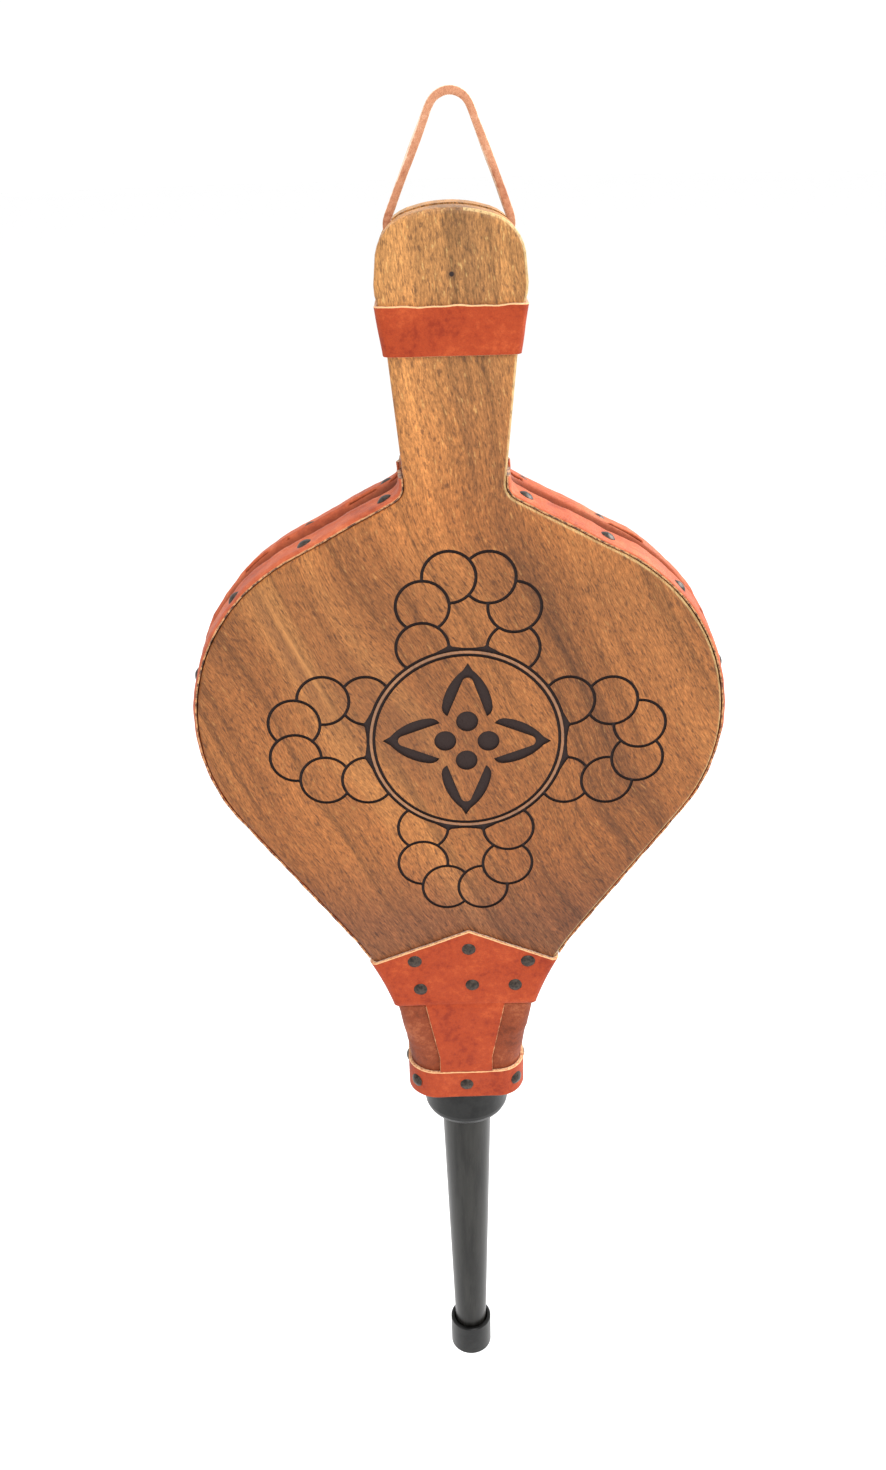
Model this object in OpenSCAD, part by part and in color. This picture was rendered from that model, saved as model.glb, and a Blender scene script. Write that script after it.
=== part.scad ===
// Hand bellows for a hearth, hanging from its thong with the nozzle down.
// +Z is up, -Y is the carved front, and the origin is the inside top of the hanging thong.
// Outlines are drawn in the X-Z plane and given their thickness along Y.

/* [Boards] */
// Width of both boards at the widest point
body_w = 184; // [160:1:210]
// Thickness of the front board
front_t = 14; // [10:0.5:18]
// Thickness of the back board
back_t = 14; // [10:0.5:18]
// Gap between the closed boards
gap = 8; // [7:0.5:14]
// Height from the hinge crease up to the widest point
belly_rise = 122; // [110:1:140]
// Radius of the shoulders
shoulder_r = 67.5; // [55:0.5:75]
// Slope of the shoulders, in degrees from level
shoulder_slope = 28; // [20:1:34]
// Radius of the lower flanks
flank_r = 65; // [50:1:75]
// Radius of the flare into the nose
flare_r = 118; // [90:1:150]
// Distance below the hinge crease at which the flare has run out
flare_drop = 35; // [25:0.5:45]
// Round-over of the outside edges of the boards
edge_r = 1.6; // [0.5:0.1:2.5]

/* [Handles] */
// Length of the handles, from their tops to the corner between neck and shoulder
handle_len = 87.3; // [70:0.1:110]
// Width of the handles at the widest point
handle_w = 47.2; // [40:0.2:56]
// Width of the neck
neck_w = 33; // [28:0.5:38]
// Radius of the top corners of the handles
handle_r = 14; // [8:0.5:15]
// Radius of the crowned handle tops
crown_r = 44; // [36:1:80]
// Radius of the corner between neck and shoulder
neck_fillet = 6; // [4:0.5:9]
// Distance from the hanging point down to the handle tops
hang_drop = 30; // [25:1:40]

/* [Nose] */
// Width of the wooden nose at its end
nose_w = 42.4; // [38:0.2:50]
// Height of the nose, from the hinge crease to its end
nose_len = 46.4; // [40:0.2:60]
// Corner radius at the end of the nose
nose_r = 9; // [6:0.5:11]
// Thickness of the leather wrap, which the wood of the nose is thinned for
wrap_t = 0.9; // [0.6:0.1:1.4]
// Height of the nose band
band_h = 12.9; // [9:0.1:18]
// Thickness of the nose band
band_t = 1.5; // [1:0.1:2]

/* [Nozzle] */
// Height of the iron cup under the nose
cup_h = 21.1; // [16:0.1:26]
// Outer radius of the top of the cup
cup_r = 17.5; // [14:0.1:18]
// Outer radius of the nozzle tube where it leaves the cup
tube_r = 10.3; // [9:0.1:11]
// Outer radius of the tube at its tip
tip_r = 7.1; // [6:0.1:8.5]
// Wall of the tube
tube_wall = 1.2; // [0.8:0.1:1.8]
// Length of the tube below the cup
tube_len = 143.6; // [100:0.2:200]
// Outer radius of the ferrule on the tip
ferrule_r = 9.2; // [8.6:0.1:10]
// Height of the ferrule
ferrule_h = 16.5; // [12:0.5:24]

/* [Leather] */
// Thickness of the gusset leather
leather_t = 1.3; // [1:0.1:1.6]
// Depth of the inward fold of the gusset
fold_depth = 14; // [8:1:20]
// Height of the keeper band around the handles
keeper_h = 15; // [10:1:22]
// Distance from the handle tops down to the keeper band
keeper_drop = 26.6; // [25:0.1:36]
// Diameter of the hanging thong
thong_d = 2.6; // [2:0.1:3]

/* [Tacks] */
// Diameter of the tack heads
tack_d = 5.7; // [4.5:0.1:6.5]
// Height of the tack heads
tack_dome = 1.2; // [0.8:0.1:1.6]
// Spacing of the tacks along the board edges
tack_pitch = 31; // [24:1:38]

/* [Air valve] */
// Radius of the intake hole in the back board
intake_r = 12; // [9:0.5:15]
// Height of the intake hole's centre above the hinge crease
intake_rise = 115; // [95:1:130]
// Thickness of the valve leather
valve_t = 1.5; // [1:0.1:2]

/* [Carving] */
// Depth of the carved pattern
carve_depth = 0.9; // [0.5:0.1:1.5]
// Width of the carved lines
line_w = 1.1; // [0.6:0.1:1.2]
// Radius of the medallion's outer line
medallion_r = 35; // [32:0.5:37]
// Radius of one grape
grape_r = 9.1; // [8:0.1:9.5]
// Turn of the whole pattern, in degrees clockwise
carve_turn = 1.5; // [0:0.5:5]

/* [Hidden] */
$fn = 48;

// clearance between leather and the wood it lies on
clear = 0.15;
// clearance between faces that only touch
touch = 0.05;
// overshoot of a cutting tool
cut = 1;

// half widths, and how far the shoulders rise above the hinge crease
half_w = body_w / 2;
neck_half = neck_w / 2;
nose_half = nose_w / 2;
shoulder_x = half_w - shoulder_r;
shoulder_a = 90 - shoulder_slope;
slope_rise = belly_rise + shoulder_r * sin(shoulder_a)
    + (shoulder_x + shoulder_r * cos(shoulder_a) - neck_half) * tan(shoulder_slope);

// heights of the main stations
top_z = -hang_drop;
keeper_z = top_z - keeper_drop;
hinge_z = top_z - handle_len - slope_rise;
nose_z = hinge_z - nose_len;
band_z = nose_z + band_h + 2 * touch;
belly_z = hinge_z + belly_rise;
cup_z = nose_z - cup_h;
tip_z = cup_z - tube_len;

// depths of the faces
front_y = -gap / 2 - front_t;
front_in = -gap / 2;
back_in = gap / 2;
back_y = gap / 2 + back_t;
nose_front = front_y + wrap_t + 2 * touch;
nose_back = back_y - wrap_t - 2 * touch;

wood = "#b8784a";
dark_wood = "#8d5c39";
tan_leather = "#c6533a";
pale_leather = "#d0744f";
iron = "#3b3a39";

// ---- points and outlines ----

// points on an arc, its end included
function arc(x, z, r, from, to, steps) =
    [for (i = [0 : steps]) let (a = from + (to - from) * i / steps)
        [x + r * cos(a), z + r * sin(a)]];

// a right-hand half outline and its mirror image, as one loop that runs clockwise
function both_sides(half) =
    concat(half, [for (i = [len(half) - 1 : -1 : 0]) [-half[i][0], half[i][1]]]);

function backwards(list) = [for (i = [len(list) - 1 : -1 : 0]) list[i]];
function flipped(list) = [for (p = list) [-p[0], p[1]]];

// the outward normal of one stretch of a clockwise path
function side_normal(a, b) = let (d = b - a) [-d[1], d[0]] / norm(d);

// a clockwise path moved outwards by d, with mitred corners
function grown(path, d, closed = true) =
    let (n = len(path))
    [for (i = [0 : n - 1])
        let (
            back = side_normal(path[i == 0 ? (closed ? n - 1 : 0) : i - 1],
                               path[i == 0 && !closed ? 1 : i]),
            ahead = side_normal(path[i == n - 1 && !closed ? n - 2 : i],
                                path[i == n - 1 ? (closed ? 0 : n - 1) : i + 1])
        )
        path[i] + (back + ahead) * d / (1 + back * ahead)];

// the right-hand edge of the body, from the neck corner down to the flare
slope_top = hinge_z + slope_rise;
fillet_z = slope_top + neck_fillet * (1 / cos(shoulder_slope) - tan(shoulder_slope));

// the flank and the flare are joined by the straight line that touches both, which sets its slant
flank_x = half_w - flank_r;
flare_cx = nose_half + flare_r;
flare_cz = hinge_z - flare_drop;
flare_across = flare_cx - flank_x;
flare_down = belly_z - flare_cz;
flank_slant = atan2(flare_down, flare_across)
    - acos((flank_r + flare_r) / norm([flare_across, flare_down]));

// half width of the nose at a height below the flare's start
function nose_x(z) = z < flare_cz ? nose_half
    : flare_cx - sqrt(pow(flare_r, 2) - pow(z - flare_cz, 2));

// the flare's angle at a height
function flare_angle(z) = 180 - asin((z - flare_cz) / flare_r);

function body_edge(end_z) = concat(
    arc(neck_half + neck_fillet, fillet_z, neck_fillet, 180, 180 + shoulder_a, 5),
    arc(shoulder_x, belly_z, shoulder_r, shoulder_a, 0, 14),
    arc(flank_x, belly_z, flank_r, -flank_slant / 8, -flank_slant, 7),
    arc(flare_cx, flare_cz, flare_r, 180 - flank_slant, flare_angle(end_z), 5));

// the right-hand edge of the handle, from its crowned top down to the neck
handle_half = handle_w / 2;
handle_taper = 0.6;
handle_ease = 5;
keeper_seat = 1;
keeper_narrow = 2.3;
corner_x = handle_half - handle_taper - handle_r;
crown_z = top_z - crown_r;
corner_rise = sqrt(pow(crown_r - handle_r, 2) - pow(corner_x, 2));
corner_a = atan2(corner_rise, corner_x);
handle_side = concat(
    arc(0, crown_z, crown_r, 88, corner_a + 6, 3),
    arc(corner_x, crown_z + corner_rise, handle_r, corner_a, 0, 7),
    [[handle_half, keeper_z + handle_ease],
     [handle_half - keeper_seat / 5, keeper_z + handle_ease * 0.4],
     [handle_half - keeper_seat, keeper_z - keeper_seat],
     [handle_half - keeper_seat - keeper_narrow, keeper_z - keeper_seat - keeper_h]]);

function board_half(end_z) = concat(handle_side, body_edge(end_z));

// ---- general solids ----

// gives an outline in the X-Z plane its thickness along Y
module slab(y0, y1) {
    translate([0, y1, 0]) rotate([90, 0, 0]) linear_extrude(y1 - y0) children();
}

// a skin over a row of loops that all have the same mirrored points
module loft(loops) {
    n = len(loops[0]);
    last = (len(loops) - 1) * n;
    sides = [for (k = [0 : len(loops) - 2], i = [0 : n - 1])
        let (a = k * n + i, b = k * n + (i + 1) % n)
        each [[a, b + n, b], [a, a + n, b + n]]];
    caps = [for (i = [0 : n / 2 - 2])
        let (j = n - 1 - i)
        each [[i, j - 1, j], [i, i + 1, j - 1],
              [last + i, last + j, last + j - 1], [last + i, last + j - 1, last + i + 1]]];
    polyhedron(points = [for (l = loops) each l], faces = concat(sides, caps));
}

// a loop of X-Z points placed at depth y
function at_depth(loop, y) = [for (p = loop) [p[0], y, p[1]]];

// a board with its outside edge rounded, from its outside face to its inside face
module board_blank(outside, inside, end_z) {
    loop = both_sides(board_half(end_z));
    way = inside > outside ? 1 : -1;
    rings = [for (a = [90, 60, 30, 0])
        at_depth(grown(loop, -edge_r * (1 - cos(a))), outside + way * edge_r * (1 - sin(a)))];
    all_rings = concat(rings, [at_depth(loop, inside)]);
    loft(way > 0 ? all_rings : backwards(all_rings));
}

// corner radius of the nose where it leaves the boards
nose_top_r = 3;

// a section of the nose at one height, with rounded corners
function nose_loop(z, grow) =
    let (
        w = nose_x(z) + grow,
        share = min(1, (hinge_z - z) / (nose_len - band_h)),
        r = nose_top_r + (nose_r - nose_top_r) * share + grow,
        y0 = nose_front - grow,
        y1 = nose_back + grow
    )
    [for (p = both_sides(concat(
            arc(w - r, y1 - r, r, 90, 0, 6), arc(w - r, y0 + r, r, 0, -90, 6))))
        [p[0], p[1], z]];

// the nose from one height down to another, as thick as the closed bellows
module nose_form(high, low, grow = 0, steps = 8) {
    loft([for (i = [0 : steps]) nose_loop(high + (low - high) * i / steps, grow)]);
}

// ---- tacks ----

// the tack's length under its head
shank_r = 0.8;
shank_len = 9;
short_shank = 7;

// a tack driven along -Z, with the underside of its head at the origin
module tack(length = shank_len) {
    head_r = tack_d / 2;
    ball = (pow(head_r, 2) + pow(tack_dome, 2)) / (2 * tack_dome);
    intersection() {
        translate([0, 0, tack_dome - ball]) sphere(ball);
        cylinder(h = tack_dome + cut, r = head_r + cut);
    }
    translate([0, 0, -length]) cylinder(h = length, r = shank_r);
}

// the hole that a tack makes in wood or leather
module tack_hole(length = shank_len) {
    translate([0, 0, -length - 4 * touch]) cylinder(h = length + cut, r = shank_r + touch / 2);
}

// turns a tack so that its head faces along a direction in the X-Z plane
module facing(x, y, z, out) {
    translate([x, y, z]) rotate([0, atan2(out[0], out[1]), 0]) children();
}

// the point at a distance along a path, with the outward normal there
function along(path, s, i = 0) =
    let (step = norm(path[i + 1] - path[i]))
    s <= step || i == len(path) - 2
        ? [path[i] + (path[i + 1] - path[i]) * s / step, side_normal(path[i], path[i + 1])]
        : along(path, s - step, i + 1);

function path_len(path) =
    let (steps = [for (i = [0 : len(path) - 2]) norm(path[i + 1] - path[i])])
    steps * [for (s = steps) 1];

// the edge leather ends where the hinge apron begins
apron_side = 20.5;
apron_side_z = hinge_z + apron_side;
board_end = 0.4;
edge_path = body_edge(hinge_z + board_end);
strip_path = [for (p = edge_path) if (p[1] > apron_side_z + 1) p];
wing_path = [for (p = edge_path) if (p[1] < apron_side_z + 1) p];
// distance of the topmost tack from the top end of the edge leather
first_tack = 10;

// places a child at every tack along both edges of one board
module along_edges(path, y) {
    count = floor((path_len(path) - 2 * first_tack) / tack_pitch) + 1;
    for (i = [0 : count - 1]) {
        spot = along(path, first_tack + i * tack_pitch);
        seat = spot[0] + spot[1] * (clear + leather_t);
        facing(seat[0], y, seat[1], spot[1]) children();
        facing(-seat[0], y, seat[1], [-spot[1][0], spot[1][1]]) children();
    }
}

front_mid = (front_y + front_in) / 2;
back_mid = (back_y + back_in) / 2;

// where the apron's tacks were driven by eye: to the right of the middle, and above the crease
apron_spots = [[1.7, 26.3], [24.4, 19.9], [19.5, 9.2], [-19.1, 21.1], [-17.2, 7.8], [2.7, 9.4]];
apron_t = leather_t;

module at_apron_spots() {
    for (s = apron_spots)
        translate([s[0], front_y - apron_t - touch, hinge_z + s[1]]) rotate([90, 0, 0]) children();
}

// ---- carving ----

// centre of the pattern, a little right of the middle of the board
carve_x = 2.4;
carve_z = belly_z - 7.6;
// the grapes of one cluster, from the one on top to the one at the bottom of the pile
grape_x = 15.6;
grape_step = 15;
grape_foot = medallion_r + 0.4;
grape_head = grape_foot + 25.4;
grape_head_x = 6.7;
grapes = [[-grape_x, grape_foot], [-grape_x, grape_foot + grape_step],
          [-grape_head_x, grape_head], [grape_head_x, grape_head],
          [grape_x, grape_foot + grape_step], [grape_x, grape_foot]];

module line_ring(r, w) {
    difference() {
        circle(r + w / 2);
        circle(r - w / 2);
    }
}

// one grape's outline, hidden where earlier grapes and the medallion cover it
module grape(i) {
    difference() {
        translate(grapes[i]) line_ring(grape_r, line_w);
        for (j = [0 : 1 : i - 1]) translate(grapes[j]) circle(grape_r);
        circle(medallion_r);
    }
}

// the dark wedge between the medallion and the foot of a grape
module wedge() {
    difference() {
        polygon([[-1.2, medallion_r - 1], [-1.2, medallion_r + 0.5],
                 [-5.4, medallion_r + 1], [-6.4, medallion_r + 1.9],
                 [-7.6, medallion_r + 0.8], [-11.8, medallion_r - 1.6],
                 [-11.4, medallion_r - 3.4]]);
        circle(medallion_r - line_w / 2);
    }
}

// half of a leaf, from its tip round to the top of the arch inside it, for a medallion of this radius
leaf_drawn_r = 35;
leaf_half = concat(
    [[0.01, 29.9]],
    arc(-11.5, 11.5, 20.5, 50, 6, 8),
    arc(5.2, 12.9, 3.7, 0, -62, 4),
    arc(0, 22.4, 1.95, 20, 88, 4));

module leaf() {
    scale(medallion_r / leaf_drawn_r) polygon(both_sides(leaf_half));
}

// from the medallion's outer line in to its second line, and the four dots around its middle
bead_w = 2.1;
dot_r = 3.9;
dot_out = 7.65;

module carving() {
    slab(front_y - cut, front_y + carve_depth)
        translate([carve_x, carve_z]) rotate(-carve_turn) {
            line_ring(medallion_r, line_w);
            line_ring(medallion_r - bead_w, line_w);
            for (a = [0 : 90 : 270]) rotate(a) {
                for (i = [0 : len(grapes) - 1]) grape(i);
                wedge();
                mirror([1, 0]) wedge();
                leaf();
                translate([0, dot_out]) circle(dot_r);
            }
        }
}

// ---- wooden parts ----

module front_board() {
    color(wood) difference() {
        board_blank(front_y, front_in, hinge_z + board_end);
        carving();
        along_edges(strip_path, front_mid) tack_hole();
        at_apron_spots() tack_hole();
    }
}

intake_z = hinge_z + intake_rise;
// how far the tube is driven into the nose, and the shoulder that stops it
socket = 14;
duct_step = 1;

// the air way through the nose, with the socket that the nozzle tube is driven into
module duct() {
    translate([0, 0, nose_z]) cylinder(h = nose_len + cut, r = tube_r - tube_wall - duct_step);
    translate([0, 0, nose_z - cut]) cylinder(h = socket + cut, r = tube_r + touch);
}

module back_board() {
    color(dark_wood) difference() {
        union() {
            board_blank(back_y, back_in, hinge_z);
            intersection() {
                nose_form(hinge_z + clear, nose_z);
                translate([-half_w, back_in, nose_z - cut]) cube([body_w, back_t, 2 * nose_len]);
            }
        }
        translate([0, back_y + cut, intake_z]) rotate([90, 0, 0])
            cylinder(h = back_t + 2 * cut, r = intake_r);
        along_edges(edge_path, back_mid) tack_hole();
        at_band_spots() tack_hole(band_shank);
        at_thong_ends() tack_hole(short_shank);
        at_batten_spots() tack_hole(short_shank);
        at_block_screws() screw_hole();
        duct();
    }
}

module nose_block() {
    color(dark_wood) difference() {
        intersection() {
            nose_form(hinge_z - clear, nose_z);
            translate([-half_w, front_y, nose_z - cut]) cube([body_w, back_in - front_y, 2 * nose_len]);
        }
        at_band_spots() tack_hole(band_shank);
        at_block_screws() screw_hole();
        duct();
    }
}

screw_x = nose_half - 7.7;
screw_drop = 13;
screw_len = 26;
screw_r = 1.9;
screw_head_r = 3.8;
screw_head_h = 3;
screw_sink = 0.3;
slot_w = 1;
slot_depth = 1;

module at_block_screws() {
    for (x = [-screw_x, screw_x])
        translate([x, nose_back - screw_sink, hinge_z - screw_drop]) rotate([-90, 0, 0]) children();
}

// a countersunk wood screw, with its flat head level with the origin
module screw(grow = 0) {
    translate([0, 0, -screw_head_h])
        cylinder(h = screw_head_h, r1 = screw_r + grow, r2 = screw_head_r + grow);
    translate([0, 0, -screw_len - grow]) cylinder(h = screw_len + grow, r = screw_r + grow);
}

module screw_hole() {
    screw(touch);
    cylinder(h = cut, r = screw_head_r + touch);
}

module block_screws() {
    color("goldenrod") at_block_screws() difference() {
        screw();
        translate([-screw_head_r - cut, -slot_w / 2, -slot_depth])
            cube([2 * (screw_head_r + cut), slot_w, slot_depth + cut]);
    }
}

// ---- leather ----

// leather lying on both side edges of a board, along a path
module edge_strip(path, y0, y1) {
    strip = concat(grown(path, clear + leather_t, false), backwards(grown(path, clear, false)));
    for (outline = [strip, flipped(strip)]) slab(y0, y1) polygon(outline);
}

// how far the edge leather stays back from the boards' outside faces
strip_back = 1;

// the two strips that cover the board edges and the fold that closes the gap between them
module gusset() {
    outer = grown(edge_path, clear + leather_t, false);
    inner = grown(edge_path, -fold_depth, false);
    color(pale_leather) difference() {
        union() {
            edge_strip(strip_path, front_y + strip_back, front_in + 1);
            edge_strip(edge_path, front_in + clear, back_y - strip_back);
            slab(front_in + clear, back_in - clear)
                polygon(concat(flipped(backwards(outer)), outer, backwards(inner), flipped(inner)));
        }
        along_edges(strip_path, front_mid) tack_hole();
        along_edges(edge_path, back_mid) tack_hole();
    }
}

// the leather hinge: a pointed apron on the front board, its wings and its strap down the nose
apron_peak = [1.9, 34.3];
strap_x = -0.1;
strap_top = 15.5;
strap_low = 10.5;
strap_taper = 26;

// one side of the apron's outline, for a strap that stands a little off the middle
function apron_side_line(shift) = concat(
    grown(wing_path, clear + leather_t, false),
    [[strap_top + shift, hinge_z], [strap_low + shift, hinge_z - strap_taper],
     [strap_low + shift, band_z + 4 * touch]]);

module hinge_apron() {
    plate = concat(
        [[apron_peak[0], hinge_z + apron_peak[1]]],
        apron_side_line(strap_x),
        backwards(flipped(apron_side_line(-strap_x))));
    color(tan_leather) difference() {
        union() {
            slab(front_y - apron_t - touch, front_y - touch) polygon(plate);
            edge_strip(wing_path, front_y - 0.5, front_in - 0.5);
        }
        at_apron_spots() tack_hole();
    }
}

module nose_wrap() {
    color("#a9593d") difference() {
        nose_form(hinge_z - wrap_t - 2 * clear, nose_z, wrap_t);
        nose_form(hinge_z + cut, nose_z - cut, touch);
        at_band_spots() tack_hole(band_shank);
    }
}

module nose_band() {
    color("#bc5530") difference() {
        nose_form(band_z, band_z - band_h, wrap_t + band_t, 3);
        nose_form(band_z + cut, band_z - band_h - cut, wrap_t + touch, 3);
        at_band_spots() tack_hole(band_shank);
    }
}

// the band's tacks stop just short of the nozzle tube inside the nose
band_shank = wrap_t + band_t - nose_front - tube_r - 2 * touch;

// places a child at each tack of the nose band: two faces, four corners and two sides
module at_band_spots() {
    z = band_z - band_h / 2;
    out = wrap_t + band_t;
    rise = nose_r + out;
    for (sx = [-1, 1]) {
        translate([sx * (nose_half + out), 0, z]) rotate([0, sx * 90, 0]) children();
        for (sy = [-1, 1]) {
            y_mid = sy < 0 ? nose_front + nose_r : nose_back - nose_r;
            translate([sx * (nose_half - nose_r + rise * cos(45)), y_mid + sy * rise * sin(45), z])
                rotate([0, 90, sy * (sx > 0 ? 45 : 135)]) children();
        }
    }
    translate([0, nose_front - out, z]) rotate([90, 0, 0]) children();
    translate([0, nose_back + out, z]) rotate([-90, 0, 0]) children();
}

// the loose loop of leather that holds the handles together
keeper_t = 1.05;
keeper_r = 2;

function keeper_loop(share, grow) =
    let (
        z = keeper_z - keeper_seat - keeper_h * share,
        w = handle_half - keeper_seat - keeper_narrow * share + clear + grow,
        r = keeper_r + grow,
        y0 = front_y - clear - grow,
        y1 = back_y + clear + grow
    )
    [for (p = both_sides(concat(
            arc(w - r, y1 - r, r, 90, 0, 4), arc(w - r, y0 + r, r, 0, -90, 4))))
        [p[0], p[1], z]];

module keeper_band() {
    extra = 0.1;
    color("#bd5237") difference() {
        loft([keeper_loop(0, keeper_t), keeper_loop(1, keeper_t)]);
        loft([keeper_loop(-extra, 0), keeper_loop(1 + extra, 0)]);
    }
}

// ---- air valve ----

valve_lap = 6;
valve_hang = 8;
valve_w = 2 * (intake_r + valve_lap);
valve_top = intake_z + intake_r + valve_hang;
batten_h = 8;
batten_end = 2;
batten_gap = 0.3;
valve_tack_in = 5;
valve_y = back_in - valve_t - 2 * touch;

module valve_flap() {
    color(pale_leather) slab(valve_y, back_in - 2 * touch) {
        translate([-valve_w / 2, intake_z]) square([valve_w, valve_top - intake_z]);
        translate([0, intake_z]) circle(valve_w / 2);
    }
}

module at_batten_spots() {
    for (x = [-valve_w / 2 + valve_tack_in, 0, valve_w / 2 - valve_tack_in])
        translate([x, valve_y, valve_top + batten_gap + batten_h / 2])
            rotate([90, 0, 0]) children();
}

module valve_batten() {
    color(tan_leather) difference() {
        slab(valve_y, back_in - touch)
            translate([-valve_w / 2 - batten_end, valve_top + batten_gap])
                square([valve_w + 2 * batten_end, batten_h]);
        at_batten_spots() tack_hole(short_shank);
    }
}

// ---- nozzle ----

cup_wall = 1.6;
cup_lip = 1.6;
cup_rim_t = 0.9;
// height over which the cup rounds in to the tube
cup_belly = 6;
// a driven fit of iron on iron
driven = 0.02;

module nozzle_cup() {
    rim_r = tube_r + 0.35;
    corner = cup_r - rim_r;
    high = nose_z - 2 * touch;
    low = cup_z + cup_lip;
    belly = [for (a = [0 : 15 : 75])
        [rim_r + corner * cos(a), low + cup_belly * (1 - sin(a))]];
    color(iron) rotate_extrude() polygon(concat(
        [[cup_r, high]], belly,
        [[rim_r + cup_rim_t, low], [rim_r + cup_rim_t, cup_z], [tube_r + driven, cup_z],
         [tube_r + driven, low + 1], [cup_r - cup_wall, cup_z + cup_h / 2],
         [cup_r - cup_wall, high]]));
}

tip_len = ferrule_h + 1.5;
ferrule_step = 0.3;

module nozzle_tube() {
    taper_z = cup_z - cut;
    color("#4d4b47") rotate_extrude() polygon([
        [tube_r, nose_z + socket], [tube_r, taper_z],
        [tip_r, tip_z + tip_len], [tip_r, tip_z],
        [tip_r - tube_wall, tip_z], [tip_r - tube_wall, tip_z + tip_len],
        [tube_r - tube_wall, taper_z], [tube_r - tube_wall, nose_z + socket]]);
}

module nozzle_ferrule() {
    lip = 4;
    bevel = 0.5;
    low = tip_z + ferrule_step;
    top = tip_z + ferrule_h;
    room = tip_r + 0.7;
    color(iron) rotate_extrude() polygon([
        [tip_r + driven, low], [ferrule_r - bevel, low], [ferrule_r, low + bevel],
        [ferrule_r, top - bevel], [ferrule_r - bevel, top],
        [room, top], [room, tip_z + lip], [tip_r + driven, tip_z + lip]]);
}

// ---- hanging thong ----

// right half of the thong's route, from its nailed end up to the top of the arch
thong_y = back_in - thong_d / 2 - 2 * clear;
thong_half = [
    [17, thong_y, -56], [17.6, thong_y, -50], [18.3, 2.2, -44], [19, 1.6, -39.5],
    [19.2, 0.8, -35], [17.4, 0.3, -30], [15, 0, -24], [12.5, 0, -18],
    [10.2, 0, -12.5], [8.1, 0, -7.5], [6.3, 0, -3.1], [4.8, 0, -0.8], [2.5, 0, 0.7]
];
// how far the top of the arch leans to the right, from a height upwards
thong_lean = 0.8;
lean_from = -35;

function tube_ring(route, i, r, sides) =
    let (
        ahead = route[min(i + 1, len(route) - 1)] - route[max(i - 1, 0)],
        t = ahead / norm(ahead),
        v = cross(t, [0, 1, 0]),
        u = v / norm(v),
        w = cross(t, u)
    )
    [for (k = [0 : sides - 1]) let (a = 360 * (k + 0.5) / sides)
        route[i] + r * (u * cos(a) + w * sin(a))];

module swept_tube(route, r, sides) {
    n = len(route);
    body = [for (i = [0 : n - 2], k = [0 : sides - 1])
        let (a = i * sides + k, b = i * sides + (k + 1) % sides)
        each [[a, a + sides, b + sides], [a, b + sides, b]]];
    ends = [[for (k = [0 : sides - 1]) k],
            [for (k = [sides - 1 : -1 : 0]) (n - 1) * sides + k]];
    polyhedron(points = [for (i = [0 : n - 1]) each tube_ring(route, i, r, sides)],
               faces = concat(body, ends));
}

module hang_thong() {
    even = concat(thong_half, [[0, 0, 1.2]],
        [for (i = [len(thong_half) - 1 : -1 : 0])
            [-thong_half[i][0], thong_half[i][1], thong_half[i][2]]]);
    route = [for (p = even)
        [p[0] + thong_lean * max(0, 1 - p[2] / lean_from), p[1], p[2]]];
    color("#d5a688") swept_tube(route, thong_d / 2, 8);
}

// each end of the thong is held by a tack in the back handle's inner face, this far up from it
thong_hold = 3;

module at_thong_ends() {
    for (x = [-thong_half[0][0], thong_half[0][0]])
        translate([x, thong_y - thong_d / 2, thong_half[0][2] + thong_hold])
            rotate([90, 0, 0]) children();
}

// ---- fasteners ----

module front_edge_tacks() {
    color(iron) along_edges(strip_path, front_mid) tack();
}

module back_edge_tacks() {
    color(iron) along_edges(edge_path, back_mid) tack();
}

module apron_tacks() {
    color(iron) at_apron_spots() tack();
}

module band_tacks() {
    color(iron) at_band_spots() tack(band_shank);
}

module valve_tacks() {
    color(iron) at_batten_spots() tack(short_shank);
}

module thong_tacks() {
    color(iron) at_thong_ends() tack(short_shank);
}

front_board();
back_board();
nose_block();
block_screws();
gusset();
hinge_apron();
nose_wrap();
nose_band();
keeper_band();
valve_flap();
valve_batten();
valve_tacks();
front_edge_tacks();
back_edge_tacks();
apron_tacks();
band_tacks();
nozzle_cup();
nozzle_tube();
nozzle_ferrule();
hang_thong();
thong_tacks();
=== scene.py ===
# %% [markdown]
# Hearth bellows: two pear-shaped walnut boards, a folded leather gusset between them, a leather hinge
# and an iron nozzle, hanging from a lace.
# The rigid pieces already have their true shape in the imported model, so this lesson gives them
# finishes and builds the leather, the lace and the tacks around them.
# Every length is in metres, +Z is up, and -Y is the carved front.

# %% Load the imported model
import math

import bmesh
import bpy
import numpy as np
from mathutils import Matrix, Vector


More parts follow.
